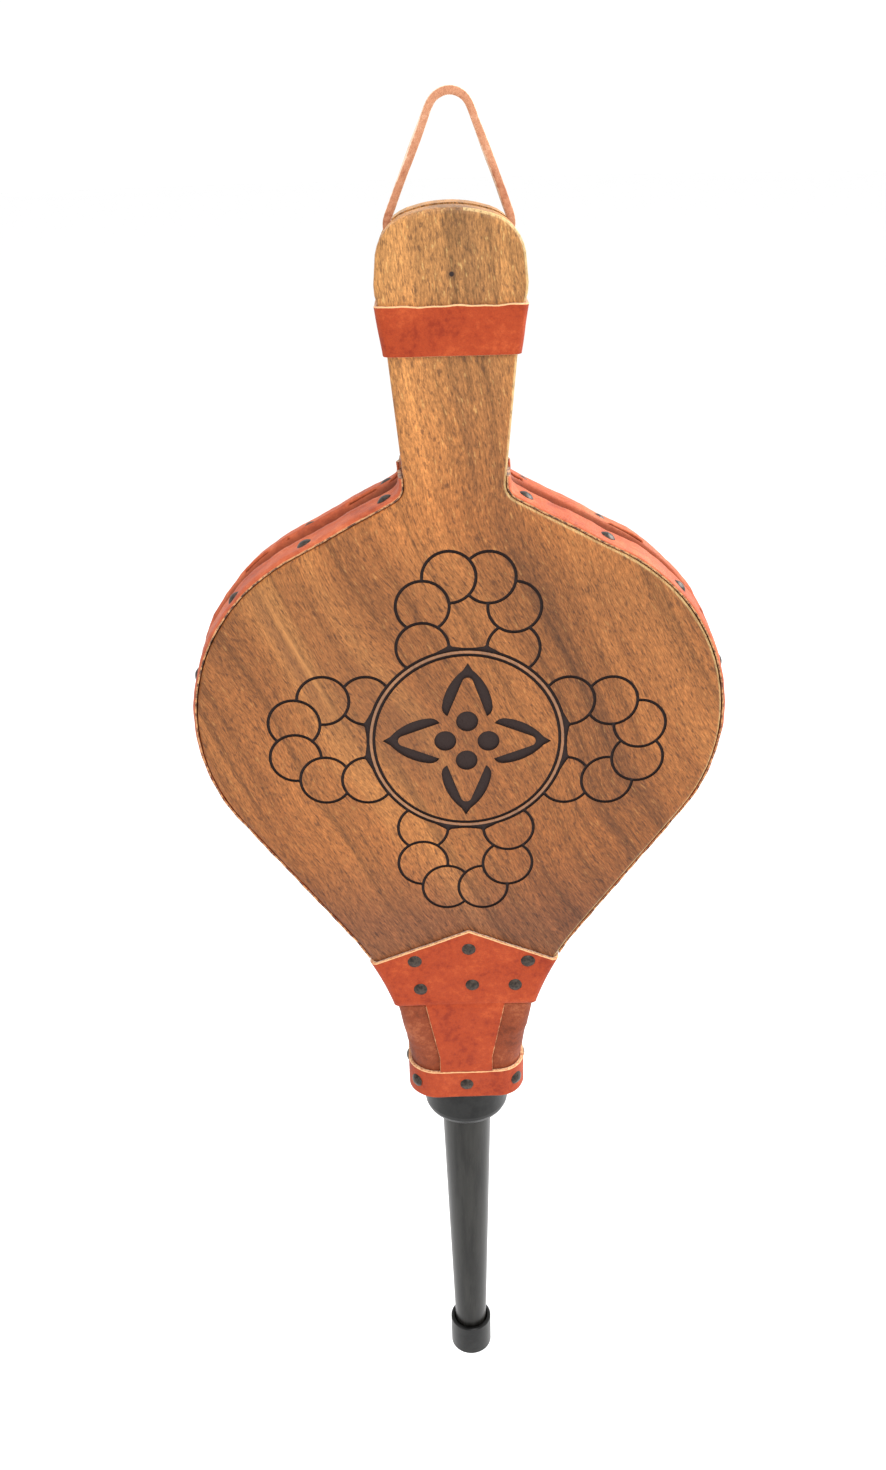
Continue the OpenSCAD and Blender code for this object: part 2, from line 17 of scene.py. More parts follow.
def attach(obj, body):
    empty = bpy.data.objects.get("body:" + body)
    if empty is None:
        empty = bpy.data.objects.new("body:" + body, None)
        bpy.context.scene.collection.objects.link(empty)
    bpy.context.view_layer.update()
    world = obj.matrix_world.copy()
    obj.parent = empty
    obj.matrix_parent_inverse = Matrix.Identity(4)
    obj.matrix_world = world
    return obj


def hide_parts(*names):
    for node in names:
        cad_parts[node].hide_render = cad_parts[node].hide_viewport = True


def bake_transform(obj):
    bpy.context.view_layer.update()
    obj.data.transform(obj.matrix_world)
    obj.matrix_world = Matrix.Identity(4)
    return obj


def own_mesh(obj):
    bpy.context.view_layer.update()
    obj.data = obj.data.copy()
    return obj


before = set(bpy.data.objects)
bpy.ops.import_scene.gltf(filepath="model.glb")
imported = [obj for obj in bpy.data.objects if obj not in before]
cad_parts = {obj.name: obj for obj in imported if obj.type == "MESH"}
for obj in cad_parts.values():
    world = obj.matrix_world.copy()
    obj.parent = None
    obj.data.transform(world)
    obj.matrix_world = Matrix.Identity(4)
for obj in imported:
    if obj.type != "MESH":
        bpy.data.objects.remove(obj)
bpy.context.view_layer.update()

scene = bpy.context.scene
MM = 0.001

# %% [markdown]
# The camera stands a little above the handles and looks down at the front, from less than half a
# metre away. A short lens from so near makes the handle look large and the nozzle small, which is how a
# hand-held camera sees something that hangs on a stand.
# It is placed from the point that it looks at, the slope and the distance, because those three are
# easy to reason about.

# %% Camera
AIM = Vector((-6.0, -18, -203)) * MM
DISTANCE = 0.460
PITCH = math.radians(26)
ROLL = math.radians(-1.5)
LENS = 31.91

camera_data = bpy.data.cameras.new("camera")
camera_data.lens = LENS
camera_data.sensor_width = 36
camera = bpy.data.objects.new("camera", camera_data)
scene.collection.objects.link(camera)
look = Vector((0, math.cos(PITCH), -math.sin(PITCH)))
tilt = Matrix.Rotation(math.pi / 2 - PITCH, 4, "X") @ Matrix.Rotation(ROLL, 4, "Z")
camera.matrix_world = Matrix.Translation(AIM - look * DISTANCE) @ tilt
camera_data.clip_start, camera_data.clip_end = 0.01, 50
scene.camera = camera
scene.view_settings.view_transform = "Standard"
print("camera at", [round(c, 3) for c in camera.location])

# %% [markdown]
# A mesh is made from points and faces. Leather, lace and tacks all start as a grid of points, rows
# along a path and columns across it, so one helper turns any such grid into a mesh.
# It keeps two things beside the shape: a UV map in metres, so that grain can follow the
# piece, and an attribute called rim, which is 1 at a cut edge and fades to 0 inside.
# Faces can be left out with a mask, which is how a strip ends before the fold beside it does.

# %% Grid helper
def grid_mesh(name, points, uv, rim, keep=None, closed_columns=False, more=None):
    """A mesh piece from an array of rows x columns x 3, in metres."""
    rows, columns = points.shape[:2]
    mesh = bpy.data.meshes.new(name)
    faces = []
    for i in range(rows - 1):
        for j in range(columns if closed_columns else columns - 1):
            if keep is None or keep[i, j]:
                a, b = i * columns, (i + 1) * columns
                k = (j + 1) % columns
                faces.append((a + j, a + k, b + k, b + j))
    mesh.from_pydata(points.reshape(-1, 3).tolist(), [], faces)
    layer = mesh.uv_layers.new(name="UVMap")
    flat_uv = np.asarray(uv, float).reshape(-1, 2)
    loops = np.zeros(len(mesh.loops), int)
    mesh.loops.foreach_get("vertex_index", loops)
    layer.data.foreach_set("uv", flat_uv[loops].astype(np.float32).ravel())
    for label, values in {"rim": rim, **(more or {})}.items():
        layer = mesh.attributes.new(label, "FLOAT", "POINT")
        layer.data.foreach_set("value", np.asarray(values, np.float32).ravel())
    return finish_mesh(name, mesh)


def finish_mesh(name, mesh):
    """Drops points that no face uses, turns the faces outwards and shades them smooth."""
    b = bmesh.new()
    b.from_mesh(mesh)
    bmesh.ops.delete(b, geom=[v for v in b.verts if not v.link_faces], context="VERTS")
    bmesh.ops.recalc_face_normals(b, faces=b.faces)
    b.to_mesh(mesh)
    b.free()
    return smooth_piece(name, mesh)


def smooth_piece(name, mesh):
    mesh.polygons.foreach_set("use_smooth", [True] * len(mesh.polygons))
    piece = bpy.data.objects.new(name, mesh)
    scene.collection.objects.link(piece)
    return piece


def add_materials(piece, *materials):
    piece.data.materials.clear()
    for material in materials:
        piece.data.materials.append(material)


def thicken(piece, thickness, offset=0.0, thin=None):
    """Gives a sheet its thickness; the cut edges take the piece's second material."""
    wall = piece.modifiers.new("thickness", "SOLIDIFY")
    if thin is not None:
        # where the sheet was pared, it keeps only this share of its thickness
        group = piece.vertex_groups.new(name="full")
        for vertex, pared in zip(piece.data.vertices, piece.data.attributes["pared"].data):
            group.add([vertex.index], 1 - pared.value, "REPLACE")
        wall.vertex_group, wall.thickness_vertex_group = "full", thin
    wall.thickness = thickness
    wall.offset = offset
    wall.use_even_offset = True
    wall.material_offset_rim = 1


def soften(piece, width):
    """Rounds off the cut edges of a thick strap."""
    soft = piece.modifiers.new("soft edges", "BEVEL")
    soft.width, soft.segments = width, 2
    soft.limit_method, soft.angle_limit = "ANGLE", math.radians(50)


def lengths_along(path):
    """How far along a path each of its points lies."""
    return np.r_[0, np.cumsum(np.linalg.norm(np.diff(path, axis=0), axis=1))]


print("helpers ready")

# %% [markdown]
# The hanging thong is a square-cut leather lace. It is one limp cord that is held at both ends: it starts
# at a tack between the handles, runs up and over the hook, and comes back down to the second tack.
# It could be a curve with a bevel, but a curve gives a round cord. A lace has flat faces and it
# turns a little as it goes, so its four-sided section is swept along the route in code.
# The route's points are the same as the plain tube's in the frame, and a smooth line runs through them.

# %% Lace route
THONG_Y = 2.4
THONG_HALF = [
    (17, THONG_Y, -56), (17.6, THONG_Y, -50), (18.3, 2.2, -44), (19, 1.6, -39.5),
    (19.2, 0.8, -35), (17.4, 0.3, -30), (15, 0, -24), (12.5, 0, -18),
    (10.2, 0, -12.5), (8.1, 0, -7.5), (6.3, 0, -3.1), (4.8, 0, -0.8), (2.5, 0, 0.7),
]
THONG_LEAN, LEAN_FROM = 0.8, -35.0
even_points = THONG_HALF + [(0, 0, 1.2)] + [(-x, y, z) for x, y, z in reversed(THONG_HALF)]
thong_points = [(x + THONG_LEAN * max(0.0, 1 - z / LEAN_FROM), y, z) for x, y, z in even_points]


def smooth_line(points, step):
    """A Catmull-Rom line through the points, cut into even steps."""
    p = np.array([points[0], *points, points[-1]], float)
    line = []
    for i in range(1, len(p) - 2):
        for t in np.linspace(0, 1, 24, endpoint=False):
            a, b, c, d = p[i - 1], p[i], p[i + 1], p[i + 2]
            line.append(0.5 * (2 * b + (c - a) * t + (2 * a - 5 * b + 4 * c - d) * t ** 2
                               + (3 * b - a - 3 * c + d) * t ** 3))
    line.append(p[-2])
    line = np.array(line)
    lengths = lengths_along(line)
    count = int(round(lengths[-1] / step)) + 1
    even = np.linspace(0, lengths[-1], count)
    return np.stack([np.interp(even, lengths, line[:, k]) for k in range(3)], 1), lengths[-1]


thong_line, thong_length = smooth_line(thong_points, 1.0)
print("lace length", round(thong_length, 1), "mm in", len(thong_line), "steps")

# %% Lace
LACE_WIDE, LACE_THIN, LACE_CORNER = 2.6, 2.0, 0.3


def lace_section():
    """The corners of the lace's cut, each softened with two points."""
    w, t, c = LACE_WIDE / 2, LACE_THIN / 2, LACE_CORNER
    return [(w, t - c), (w - c, t), (-w + c, t), (-w, t - c),
            (-w, -t + c), (-w + c, -t), (w - c, -t), (w, -t + c)]


def sweep_lace(line):
    ahead = np.gradient(line, axis=0)
    ahead /= np.linalg.norm(ahead, axis=1)[:, None]
    side = np.cross(ahead, (0, 1.0, 0))
    side /= np.linalg.norm(side, axis=1)[:, None]
    out = np.cross(ahead, side)
    s = np.arange(len(line))
    turn = 0.22 * np.sin(s / 17.0) + 0.1 * np.sin(s / 5.3 + 1)
    rings, uv = [], []
    for i, point in enumerate(line):
        c, d = math.cos(turn[i]), math.sin(turn[i])
        u = side[i] * c + out[i] * d
        v = out[i] * c - side[i] * d
        swell = 1 + 0.035 * math.sin(i / 3.1) - 0.03
        section = lace_section()
        rings.append([point + u * a * swell + v * b * swell for a, b in section])
        uv.append([(i * MM, k * 1.1 * MM) for k in range(len(section))])
    return np.array(rings) * MM, np.array(uv)


lace_points, lace_uv = sweep_lace(thong_line)
# the broad faces are the smooth side of the hide; the corners and narrow faces are cut
lace_rim = np.tile([0.6, 0.25, 0.25, 0.6, 0.6, 0.25, 0.25, 0.6], (len(lace_points), 1))
lace = grid_mesh("hanging_lace", lace_points, lace_uv, lace_rim, closed_columns=True)
closing = bmesh.new()
closing.from_mesh(lace.data)
bmesh.ops.holes_fill(closing, edges=closing.edges, sides=0)
bmesh.ops.recalc_face_normals(closing, faces=closing.faces)
closing.to_mesh(lace.data)
closing.free()
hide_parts("hang_thong")
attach(lace, "back_body")
print("lace", len(lace.data.polygons), "faces")

# %% [markdown]
# The leather follows the outline of the boards, so that outline comes first. Each side of a board is
# four arcs: a small one where the neck meets the shoulder, the shoulder, the flank and the flare
# into the nose. The numbers are the boards' own, in millimetres, and the right side is mirrored to
# make the left.

# %% Outline of the boards
HALF_W, NECK_HALF, NOSE_HALF = 92.0, 16.5, 21.2
SHOULDER_R, FLANK_R, FLARE_R, NECK_FILLET = 67.5, 65.0, 118.0, 6.0
SHOULDER_SLOPE, FLARE_DROP = math.radians(28), 35.0
HINGE_Z, BELLY_RISE = -320.0, 122.0
FLARE_CX, FLARE_CZ = NOSE_HALF + FLARE_R, HINGE_Z - FLARE_DROP
FRONT_Y, FRONT_IN, BACK_IN, BACK_Y = -18.0, -4.0, 4.0, 18.0
NOSE_LONG = 46.4
NOSE_Z = HINGE_Z - NOSE_LONG
BELLY_Z = HINGE_Z + BELLY_RISE
APRON_SIDE_Z = HINGE_Z + 20.5


def arc(x, z, r, start, end, step=1.0):
    count = max(3, int(abs(end - start) * r / step))
    a = np.linspace(start, end, count)
    return np.stack([x + r * np.cos(a), z + r * np.sin(a)], 1)


def board_edge():
    """The right edge of a board, from the top of the neck corner down to the crease."""
    shoulder_a = math.pi / 2 - SHOULDER_SLOPE
    shoulder_x = HALF_W - SHOULDER_R
    slope_rise = (BELLY_RISE + SHOULDER_R * math.sin(shoulder_a)
                  + (shoulder_x + SHOULDER_R * math.cos(shoulder_a) - NECK_HALF)
                  * math.tan(SHOULDER_SLOPE))
    fillet_z = HINGE_Z + slope_rise + NECK_FILLET * (1 / math.cos(SHOULDER_SLOPE)
                                                     - math.tan(SHOULDER_SLOPE))
    # the straight line that touches both the flank's arc and the flare's sets the slant
    flank_x = HALF_W - FLANK_R
    flare_across, flare_down = FLARE_CX - flank_x, BELLY_Z - FLARE_CZ
    slant = (math.atan2(flare_down, flare_across)
             - math.acos((FLANK_R + FLARE_R) / math.hypot(flare_across, flare_down)))
    low_a = math.pi - math.asin((HINGE_Z + 0.4 - FLARE_CZ) / FLARE_R)
    return np.concatenate([
        arc(NECK_HALF + NECK_FILLET, fillet_z, NECK_FILLET, math.pi, math.pi + shoulder_a, 0.5),
        arc(shoulder_x, BELLY_Z, SHOULDER_R, shoulder_a, 0),
        arc(flank_x, BELLY_Z, FLANK_R, 0, -slant)[1:],
        arc(FLARE_CX, FLARE_CZ, FLARE_R, math.pi - slant, low_a)])


def even_path(path, step):
    """The same path in even steps, with the outward side of each point."""
    lengths = lengths_along(path)
    even = np.linspace(0, lengths[-1], int(round(lengths[-1] / step)) + 1)
    p = np.stack([np.interp(even, lengths, path[:, k]) for k in range(2)], 1)
    ahead = np.gradient(p, axis=0)
    ahead /= np.linalg.norm(ahead, axis=1)[:, None]
    return p, np.stack([-ahead[:, 1], ahead[:, 0]], 1), even


edge_line = board_edge()
edge_points, edge_out, edge_length = even_path(edge_line, 1.25)
print("edge of a board:", round(edge_length[-1], 1), "mm, neck corner at z", round(edge_line[0][1], 1))

# %% [markdown]
# Where the tacks go is needed before the leather, because leather dips where a tack pulls it down.
# Along the edges a tack stands every 31 mm, starting 10 mm below the neck. The hinge leather has six
# and the nose band eight. Each spot is kept as a point and the direction that the tack's head faces.

# %% Tack spots
TACK_PITCH, FIRST_TACK = 31.0, 10.0
LEATHER, CLEAR = 1.3, 0.15
FRONT_MID, BACK_MID = (FRONT_Y + FRONT_IN) / 2, (BACK_Y + BACK_IN) / 2


def spots_on_edge(last_z, y):
    """Both sides' tack spots along one board, down to a height."""
    run = edge_length[edge_points[:, 1] > last_z][-1]
    count = int((run - 2 * FIRST_TACK) // TACK_PITCH) + 1
    spots = []
    for s in FIRST_TACK + TACK_PITCH * np.arange(count):
        p = [np.interp(s, edge_length, edge_points[:, k]) for k in range(2)]
        n = [np.interp(s, edge_length, edge_out[:, k]) for k in range(2)]
        seat = [p[k] + n[k] * (CLEAR + LEATHER) for k in range(2)]
        for side in (1, -1):
            spots.append(((side * seat[0], y, seat[1]), (side * n[0], 0, n[1])))
    return spots


front_edge_spots = spots_on_edge(APRON_SIDE_Z + 1, FRONT_MID)
back_edge_spots = spots_on_edge(HINGE_Z, BACK_MID)
APRON_SPOTS = [(1.7, 26.3), (24.4, 19.9), (19.5, 9.2), (-19.1, 21.1), (-17.2, 7.8), (2.7, 9.4)]
apron_spots = [((x, FRONT_Y - LEATHER - 0.05, HINGE_Z + rise), (0, -1, 0))
               for x, rise in APRON_SPOTS]
print(len(front_edge_spots), "front,", len(back_edge_spots), "back and", len(apron_spots), "hinge tacks")


def near_tacks(points, spots, reach):
    """1 at a tack and fading to 0 a few millimetres away, for every point."""
    pull = np.zeros(points.shape[:-1])
    for spot, _ in spots:
        away = np.linalg.norm(points - np.array(spot), axis=-1)
        pull = np.maximum(pull, np.exp(-(away / reach) ** 2))
    return pull


def hand_wave(s, size, seed):
    """A small wavering along a cut or a fold, the same on every run."""
    waves = [(23.0, 1.0), (9.1, 0.5), (4.3, 0.25)]
    return size * sum(k * np.sin(s / w * 2 * math.pi + seed * (1.7 + w)) for w, k in waves)


# %% [markdown]
# The gusset is one long strip of soft leather. Its two borders are nailed on the edges of the boards and
# its middle tucks inward between them, so from outside one sees a strip, a dark valley and
# another strip. At the neck it climbs the corners and closes the gap behind the neck.
# A cloth simulation could fold it, but the fold is held by nails all along and hardly moves, so the
# section is drawn as a smooth curve and swept round the outline: flat on each board's edge,
# with a soft lip, then down into the valley and up again.

# %% Gusset
SHEET_OUT = CLEAR + LEATHER / 2
LIP_Y = 5.0
STRIP_BACK = 0.7
PARED = 0.4
VALLEY_DEEP, VALLEY_NECK, VALLEY_NOSE = 13.0, 2.2, 5.0
BRIDGE_R = 3.0
# the fold gets shallower over these lengths at its two ends
NECK_EASE, NOSE_EASE = 26.0, 70.0


def gusset_path():
    """Up the left edge, across behind the neck and down the right edge, with outward sides."""
    right, out = edge_points, edge_out
    left, left_out = right[::-1] * (-1, 1), out[::-1] * (-1, 1)
    climb = np.arange(1.25, 3.0, 1.25)
    top = right[0][1] + climb[-1]
    rise_left = np.stack([np.full(len(climb), -NECK_HALF), right[0][1] + climb], 1)
    turn = np.linspace(math.pi, math.pi / 2, 6)
    cx = NECK_HALF - BRIDGE_R
    turn_left = np.stack([-cx + BRIDGE_R * np.cos(turn), top + BRIDGE_R * np.sin(turn)], 1)
    turn_out = np.stack([np.cos(turn), np.sin(turn)], 1)
    flat_x = np.linspace(-cx, cx, 22)[1:-1]
    flat = np.stack([flat_x, np.full(len(flat_x), top + BRIDGE_R)], 1)
    half = np.concatenate([left, rise_left, turn_left[1:]])
    half_out = np.concatenate([left_out, np.tile((-1.0, 0.0), (len(climb), 1)), turn_out[1:]])
    kind = np.concatenate([np.zeros(len(left) + len(climb)), np.ones(len(turn_left) - 1)])
    path = np.concatenate([half, flat, half[::-1] * (-1, 1)])
    outs = np.concatenate([half_out, np.tile((0.0, 1.0), (len(flat), 1)), half_out[::-1] * (-1, 1)])
    bridge = np.concatenate([kind, np.ones(len(flat)), kind[::-1]])
    return path, outs, bridge


path, path_out, on_bridge = gusset_path()
run = lengths_along(path)


def valley_depth(i):
    """How deep the fold goes at a point of the path: deep at the belly, shallow at both ends."""
    if on_bridge[i]:
        return VALLEY_NECK
    s = run[i] if path[i][0] < 0 else run[-1] - run[i]
    from_neck = max(0.0, edge_length[-1] - s)
    into = min(1.0, from_neck / NECK_EASE)
    low = min(1.0, s / NOSE_EASE)
    ease = into * into * (3 - 2 * into)
    return (VALLEY_NECK + (VALLEY_DEEP - VALLEY_NECK) * ease) * (low + (1 - low) * VALLEY_NOSE / VALLEY_DEEP)


strip_y = np.linspace(FRONT_Y + STRIP_BACK, -LIP_Y, 13)
fold_t = np.linspace(-1, 1, 31)
# more points where the fold turns
fold_y = LIP_Y * np.sin(fold_t * math.pi / 2)
section_y = np.concatenate([strip_y[:-1], fold_y, -strip_y[::-1][1:]])
fold_from, fold_to = len(strip_y) - 1, len(strip_y) - 1 + len(fold_y) - 1


def gusset_grid():
    rows, columns = len(path), len(section_y)
    points = np.zeros((rows, columns, 3))
    for i in range(rows):
        deep = valley_depth(i)
        y = section_y.copy()
        inside = np.abs(y) <= LIP_Y + 1e-6
        t = np.clip(1 - np.abs(y) / LIP_Y, 0, 1)
        n = np.where(inside, SHEET_OUT - deep * (t * t * (3 - 2 * t)), SHEET_OUT)
        lip = np.exp(-((np.abs(y) - LIP_Y - 1.2) / 1.6) ** 2)
        n = n + np.where(y > 0, 0.9, 0.35) * lip * (1 if not on_bridge[i] else 0)
        if on_bridge[i]:
            y = np.clip(y * 0.72, -3.7, 3.7)
        points[i, :, 0] = path[i][0] + path_out[i][0] * n
        points[i, :, 1] = y
        points[i, :, 2] = path[i][1] + path_out[i][1] * n
    return points


gusset_points = gusset_grid()
outward = np.zeros_like(gusset_points)
outward[:, :, 0] = path_out[:, 0][:, None]
outward[:, :, 2] = path_out[:, 1][:, None]
strip_like = np.abs(section_y)[None, :] > LIP_Y
free = (1 - on_bridge)[:, None]
# the borders waver where they were cut by hand, and the leather between tacks stands off a little
cut_wave_front = hand_wave(run, 0.22, 1.0)[:, None] * (section_y < -LIP_Y)[None, :]
cut_wave_back = hand_wave(run, 0.22, 2.0)[:, None] * (section_y > LIP_Y)[None, :]
share = np.clip((np.abs(section_y) - LIP_Y) / (-FRONT_Y - LIP_Y), 0, 1)[None, :]
gusset_points[:, :, 1] += (cut_wave_front + cut_wave_back) * share * free
pull = near_tacks(gusset_points, front_edge_spots + back_edge_spots, 4.6)
puff = (0.42 + hand_wave(run, 0.16, 3.0)[:, None]) * (1 - pull) * strip_like * free
gusset_points += outward * (puff * (1 - share ** 4) - 0.12 * pull * strip_like)[:, :, None]
# soft creases run down into the valley
ripple = (np.sin(run / 3.4 + 0.6 * np.sin(run / 17)) * 0.16
          + np.sin(run / 7.9 + 1.0) * 0.35)[:, None]
fold_share = np.clip(1 - np.abs(section_y) / LIP_Y, 0, 1)[None, :]
gusset_points += outward * (ripple * np.sin(fold_share * math.pi) * free)[:, :, None]

keep = np.ones((len(path) - 1, len(section_y) - 1), bool)
for i in range(len(path) - 1):
    if on_bridge[i] or on_bridge[i + 1]:
        keep[i, :fold_from] = False
        keep[i, fold_to:] = False
    if min(path[i][1], path[i + 1][1]) < APRON_SIDE_Z + 1.2:
        keep[i, :fold_from] = False
across = lengths_along(gusset_points[len(path) // 4])
gusset_uv = np.stack(np.meshgrid(run, across, indexing="ij"), -1) * MM
to_edge = np.minimum(section_y - section_y[0], section_y[-1] - section_y)
gusset_rim = 0.55 * np.exp(-(to_edge / 0.3) ** 2)[None, :] * np.ones((len(path), 1))
# the borders were pared thin before they were nailed, so they lie closer to the wood
pared = np.exp(-(to_edge / 1.2) ** 2)[None, :] * np.ones((len(path), 1))
gusset_points -= outward * (pared * free * (1 - PARED) * LEATHER / 2)[:, :, None]
# how far into the fold each point lies; the gusset's finish uses it for painted shade
in_valley = (np.clip(1 - np.abs(section_y) / (LIP_Y + 1.0), 0, 1) ** 0.7)[None, :] * np.ones((len(path), 1))
gusset = grid_mesh("gusset_leather", gusset_points * MM, gusset_uv, gusset_rim, keep,
                   more={"pared": pared, "valley": in_valley})
thicken(gusset, LEATHER * MM, thin=PARED)
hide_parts("gusset")
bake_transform(gusset)
print("gusset", len(gusset.data.polygons), "faces, path", round(run[-1]), "mm")

# %% [markdown]
# The hinge leather is a pointed apron that is nailed on the front board, with wings round the board's
# edges and a strap that runs down the nose. It is stiff, flat leather, so it is drawn as one
# sheet with straight cuts. Its columns run from the crease up to the pointed edge, and on
# either side they go on round the edge of the board. Only the middle columns run on below the crease.
# The tacks pull small dimples into it, and the crease shows as a shallow line.

# %% Hinge apron
APRON_PEAK = (1.9, 34.3)
STRAP_X, STRAP_TOP, STRAP_LOW, STRAP_TAPER = -0.1, 15.5, 10.5, 26.0
BAND_H = 12.9
BAND_Z = NOSE_Z + BAND_H + 0.1
APRON_Y = FRONT_Y - 0.05 - LEATHER / 2
BEND_R = 1.9
# how many columns lie on each wing and in the four parts of the front
APRON_ROWS, WING_COLUMNS, FRONT_COLUMNS = 44, 14, (10, 20, 20, 10)


def edge_x(z):
    """Half width of the board at heights near the nose."""
    low = edge_points[::-1]
    return np.interp(z, low[:, 1], low[:, 0])


def apron_row(r):
    """One row of the apron, from wing tip to wing tip; r is 0 at the crease and 1 at the top edge."""
    columns = []
    crease = HINGE_Z + 0.1
    for side in (-1, 1):
        z = crease + (APRON_SIDE_Z - crease) * r
        x = edge_x(max(z, HINGE_Z + 0.4)) + SHEET_OUT
        wing = [(side * x, y, z) for y in np.linspace(FRONT_IN - 0.6, FRONT_Y + BEND_R - 0.6, 10)]
        bend = [(side * (x - BEND_R + BEND_R * math.cos(a)),
                 APRON_Y + BEND_R - BEND_R * math.sin(a), z)
                for a in np.linspace(0, math.pi / 2, 6)[1:]]
        columns.append(wing + bend)
    left, right = columns
    base_left = -(edge_x(HINGE_Z + 0.4) + SHEET_OUT - BEND_R)
    base = [base_left, STRAP_X - STRAP_TOP, APRON_PEAK[0], STRAP_X + STRAP_TOP, -base_left]
    top_left = -(edge_x(APRON_SIDE_Z) + SHEET_OUT - BEND_R)
    front = []
    for k in range(4):
        count = FRONT_COLUMNS[k]
        for j in range(count if k < 3 else count + 1):
            bx = base[k] + (base[k + 1] - base[k]) * j / count
            across = (bx - base_left) / (-2 * base_left)
            # the same place on the pointed top edge
            peak_at = (APRON_PEAK[0] - base_left) / (-2 * base_left)
            if across < peak_at:
                f = across / peak_at
                tx = top_left + (APRON_PEAK[0] - top_left) * f
                tz = APRON_SIDE_Z + (HINGE_Z + APRON_PEAK[1] - APRON_SIDE_Z) * f
            else:
                f = (across - peak_at) / (1 - peak_at)
                tx = APRON_PEAK[0] + (-top_left - APRON_PEAK[0]) * f
                tz = HINGE_Z + APRON_PEAK[1] + (APRON_SIDE_Z - HINGE_Z - APRON_PEAK[1]) * f
            # the outermost columns follow the curved edge of the board instead of a straight line
            side_x = math.copysign(edge_x(max(crease + (APRON_SIDE_Z - crease) * r, HINGE_Z + 0.4))
                                   + SHEET_OUT - BEND_R, bx)
            straight_x = bx + (tx - bx) * r
            edge_line_x = math.copysign(-base_left + (-top_left + base_left) * r, bx)
            near = abs(bx / base_left) ** 3
            x = straight_x + (side_x - edge_line_x) * near
            front.append((x, APRON_Y, crease + (tz - crease) * r))
    return left[:-1] + front + right[::-1][1:]


def strap_row(z):
    """One row of the strap below the crease, with the columns of the apron's middle."""
    down = min(1.0, (HINGE_Z - z) / STRAP_TAPER)
    half = STRAP_TOP + (STRAP_LOW - STRAP_TOP) * down
    return [(STRAP_X + half * t, APRON_Y, z) for t in np.linspace(-1, 1, strap_to - strap_from + 1)]


apron_rows = [apron_row(r) for r in np.linspace(0, 1, APRON_ROWS)]
wide = len(apron_rows[0])
strap_from = WING_COLUMNS + FRONT_COLUMNS[0]
strap_to = strap_from + FRONT_COLUMNS[1] + FRONT_COLUMNS[2]
strap_z = np.linspace(HINGE_Z + 0.1, BAND_Z + 0.2, 38)[1:]
apron_points = np.zeros((len(strap_z) + len(apron_rows), wide, 3))
apron_keep = np.ones((len(apron_points) - 1, wide - 1), bool)
for i, z in enumerate(strap_z[::-1]):
    apron_points[i, strap_from:strap_to + 1] = strap_row(z)
    apron_keep[i, :strap_from] = False
    apron_keep[i, strap_to:] = False
for i, row in enumerate(apron_rows):
    apron_points[len(strap_z) + i] = row

# distance from the cut edges, for the pale raw border
apron_rim = np.zeros(apron_points.shape[:2])
top_away = (APRON_PEAK[1] * (1 - np.linspace(0, 1, APRON_ROWS)))[:, None]
apron_rim[len(strap_z):] = np.exp(-(top_away / 0.6) ** 2)
for i in range(len(strap_z)):
    x = apron_points[i, strap_from:strap_to + 1, 0]
    away = np.minimum(x - x[0], x[-1] - x)
    apron_rim[i, strap_from:strap_to + 1] = 0.55 * np.exp(-(away / 0.35) ** 2)
apron_rim[len(strap_z), :strap_from] = 0.25
apron_rim[len(strap_z), strap_to + 1:] = 0.25

# dimples at the tacks, a shallow crease, and the slight swell of flat leather between nails
dimple = near_tacks(apron_points, apron_spots, 3.6)
rise = np.exp(-((apron_points[:, :, 2] - HINGE_Z) / 0.8) ** 2)
swell = 0.16 * np.sin(apron_points[:, :, 0] / 4.1 + 1) * np.sin(apron_points[:, :, 2] / 5.3)
front_part = np.abs(apron_points[:, :, 1] - APRON_Y) < 0.01
apron_points[:, :, 1] += np.where(front_part, 0.12 * dimple + 0.45 * rise - 0.1 * (1 - dimple)
                                  - np.abs(swell) * (1 - dimple), 0)
apron_uv = apron_points[:, :, [0, 2]] * MM
hinge_leather = grid_mesh("hinge_apron_leather", apron_points * MM, apron_uv, apron_rim, apron_keep)
thicken(hinge_leather, LEATHER * MM)
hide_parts("hinge_apron")
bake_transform(hinge_leather)
print("apron", len(hinge_leather.data.polygons), "faces")

# %% [markdown]
# The nose is wrapped in one piece of thinner, rougher leather that was put on wet and shrunk tight.
# It shows on both sides of the strap and at the back. It is a tube whose section changes from
# the boards' square shape to a rounded one, so it is made from a stack of rounded rectangles.
# A few creases run across it where the wet leather gathered.

# %% Nose sections
WRAP, BAND_T = 0.9, 1.5
NOSE_TOP_R, NOSE_R = 3.0, 9.0
NOSE_FRONT, NOSE_BACK = FRONT_Y + WRAP + 0.1, BACK_Y - WRAP - 0.1


def rounded_loop(half, y0, y1, r, z, corner=12, side=16):
    """A rounded rectangle at one height, starting in the middle of the back."""
    loop = []
    for sx, sy, start in ((1, 1, 90), (1, -1, 0), (-1, -1, -90), (-1, 1, -180)):
        cx, cy = sx * (half - r), (y1 - r if sy > 0 else y0 + r)
        for a in np.radians(np.linspace(start, start - 90, corner)):
            loop.append((cx + r * math.cos(a), cy + r * math.sin(a)))
    p = np.array(loop + loop[:1])
    lengths = lengths_along(p)
    # even steps round the loop, so that a grain keeps its size
    even = np.linspace(0, lengths[-1], 4 * (corner + side) + 1)[:-1]
    x = np.interp(even, lengths, p[:, 0])
    y = np.interp(even, lengths, p[:, 1])
    return np.stack([x, y, np.full(len(x), z)], 1), even


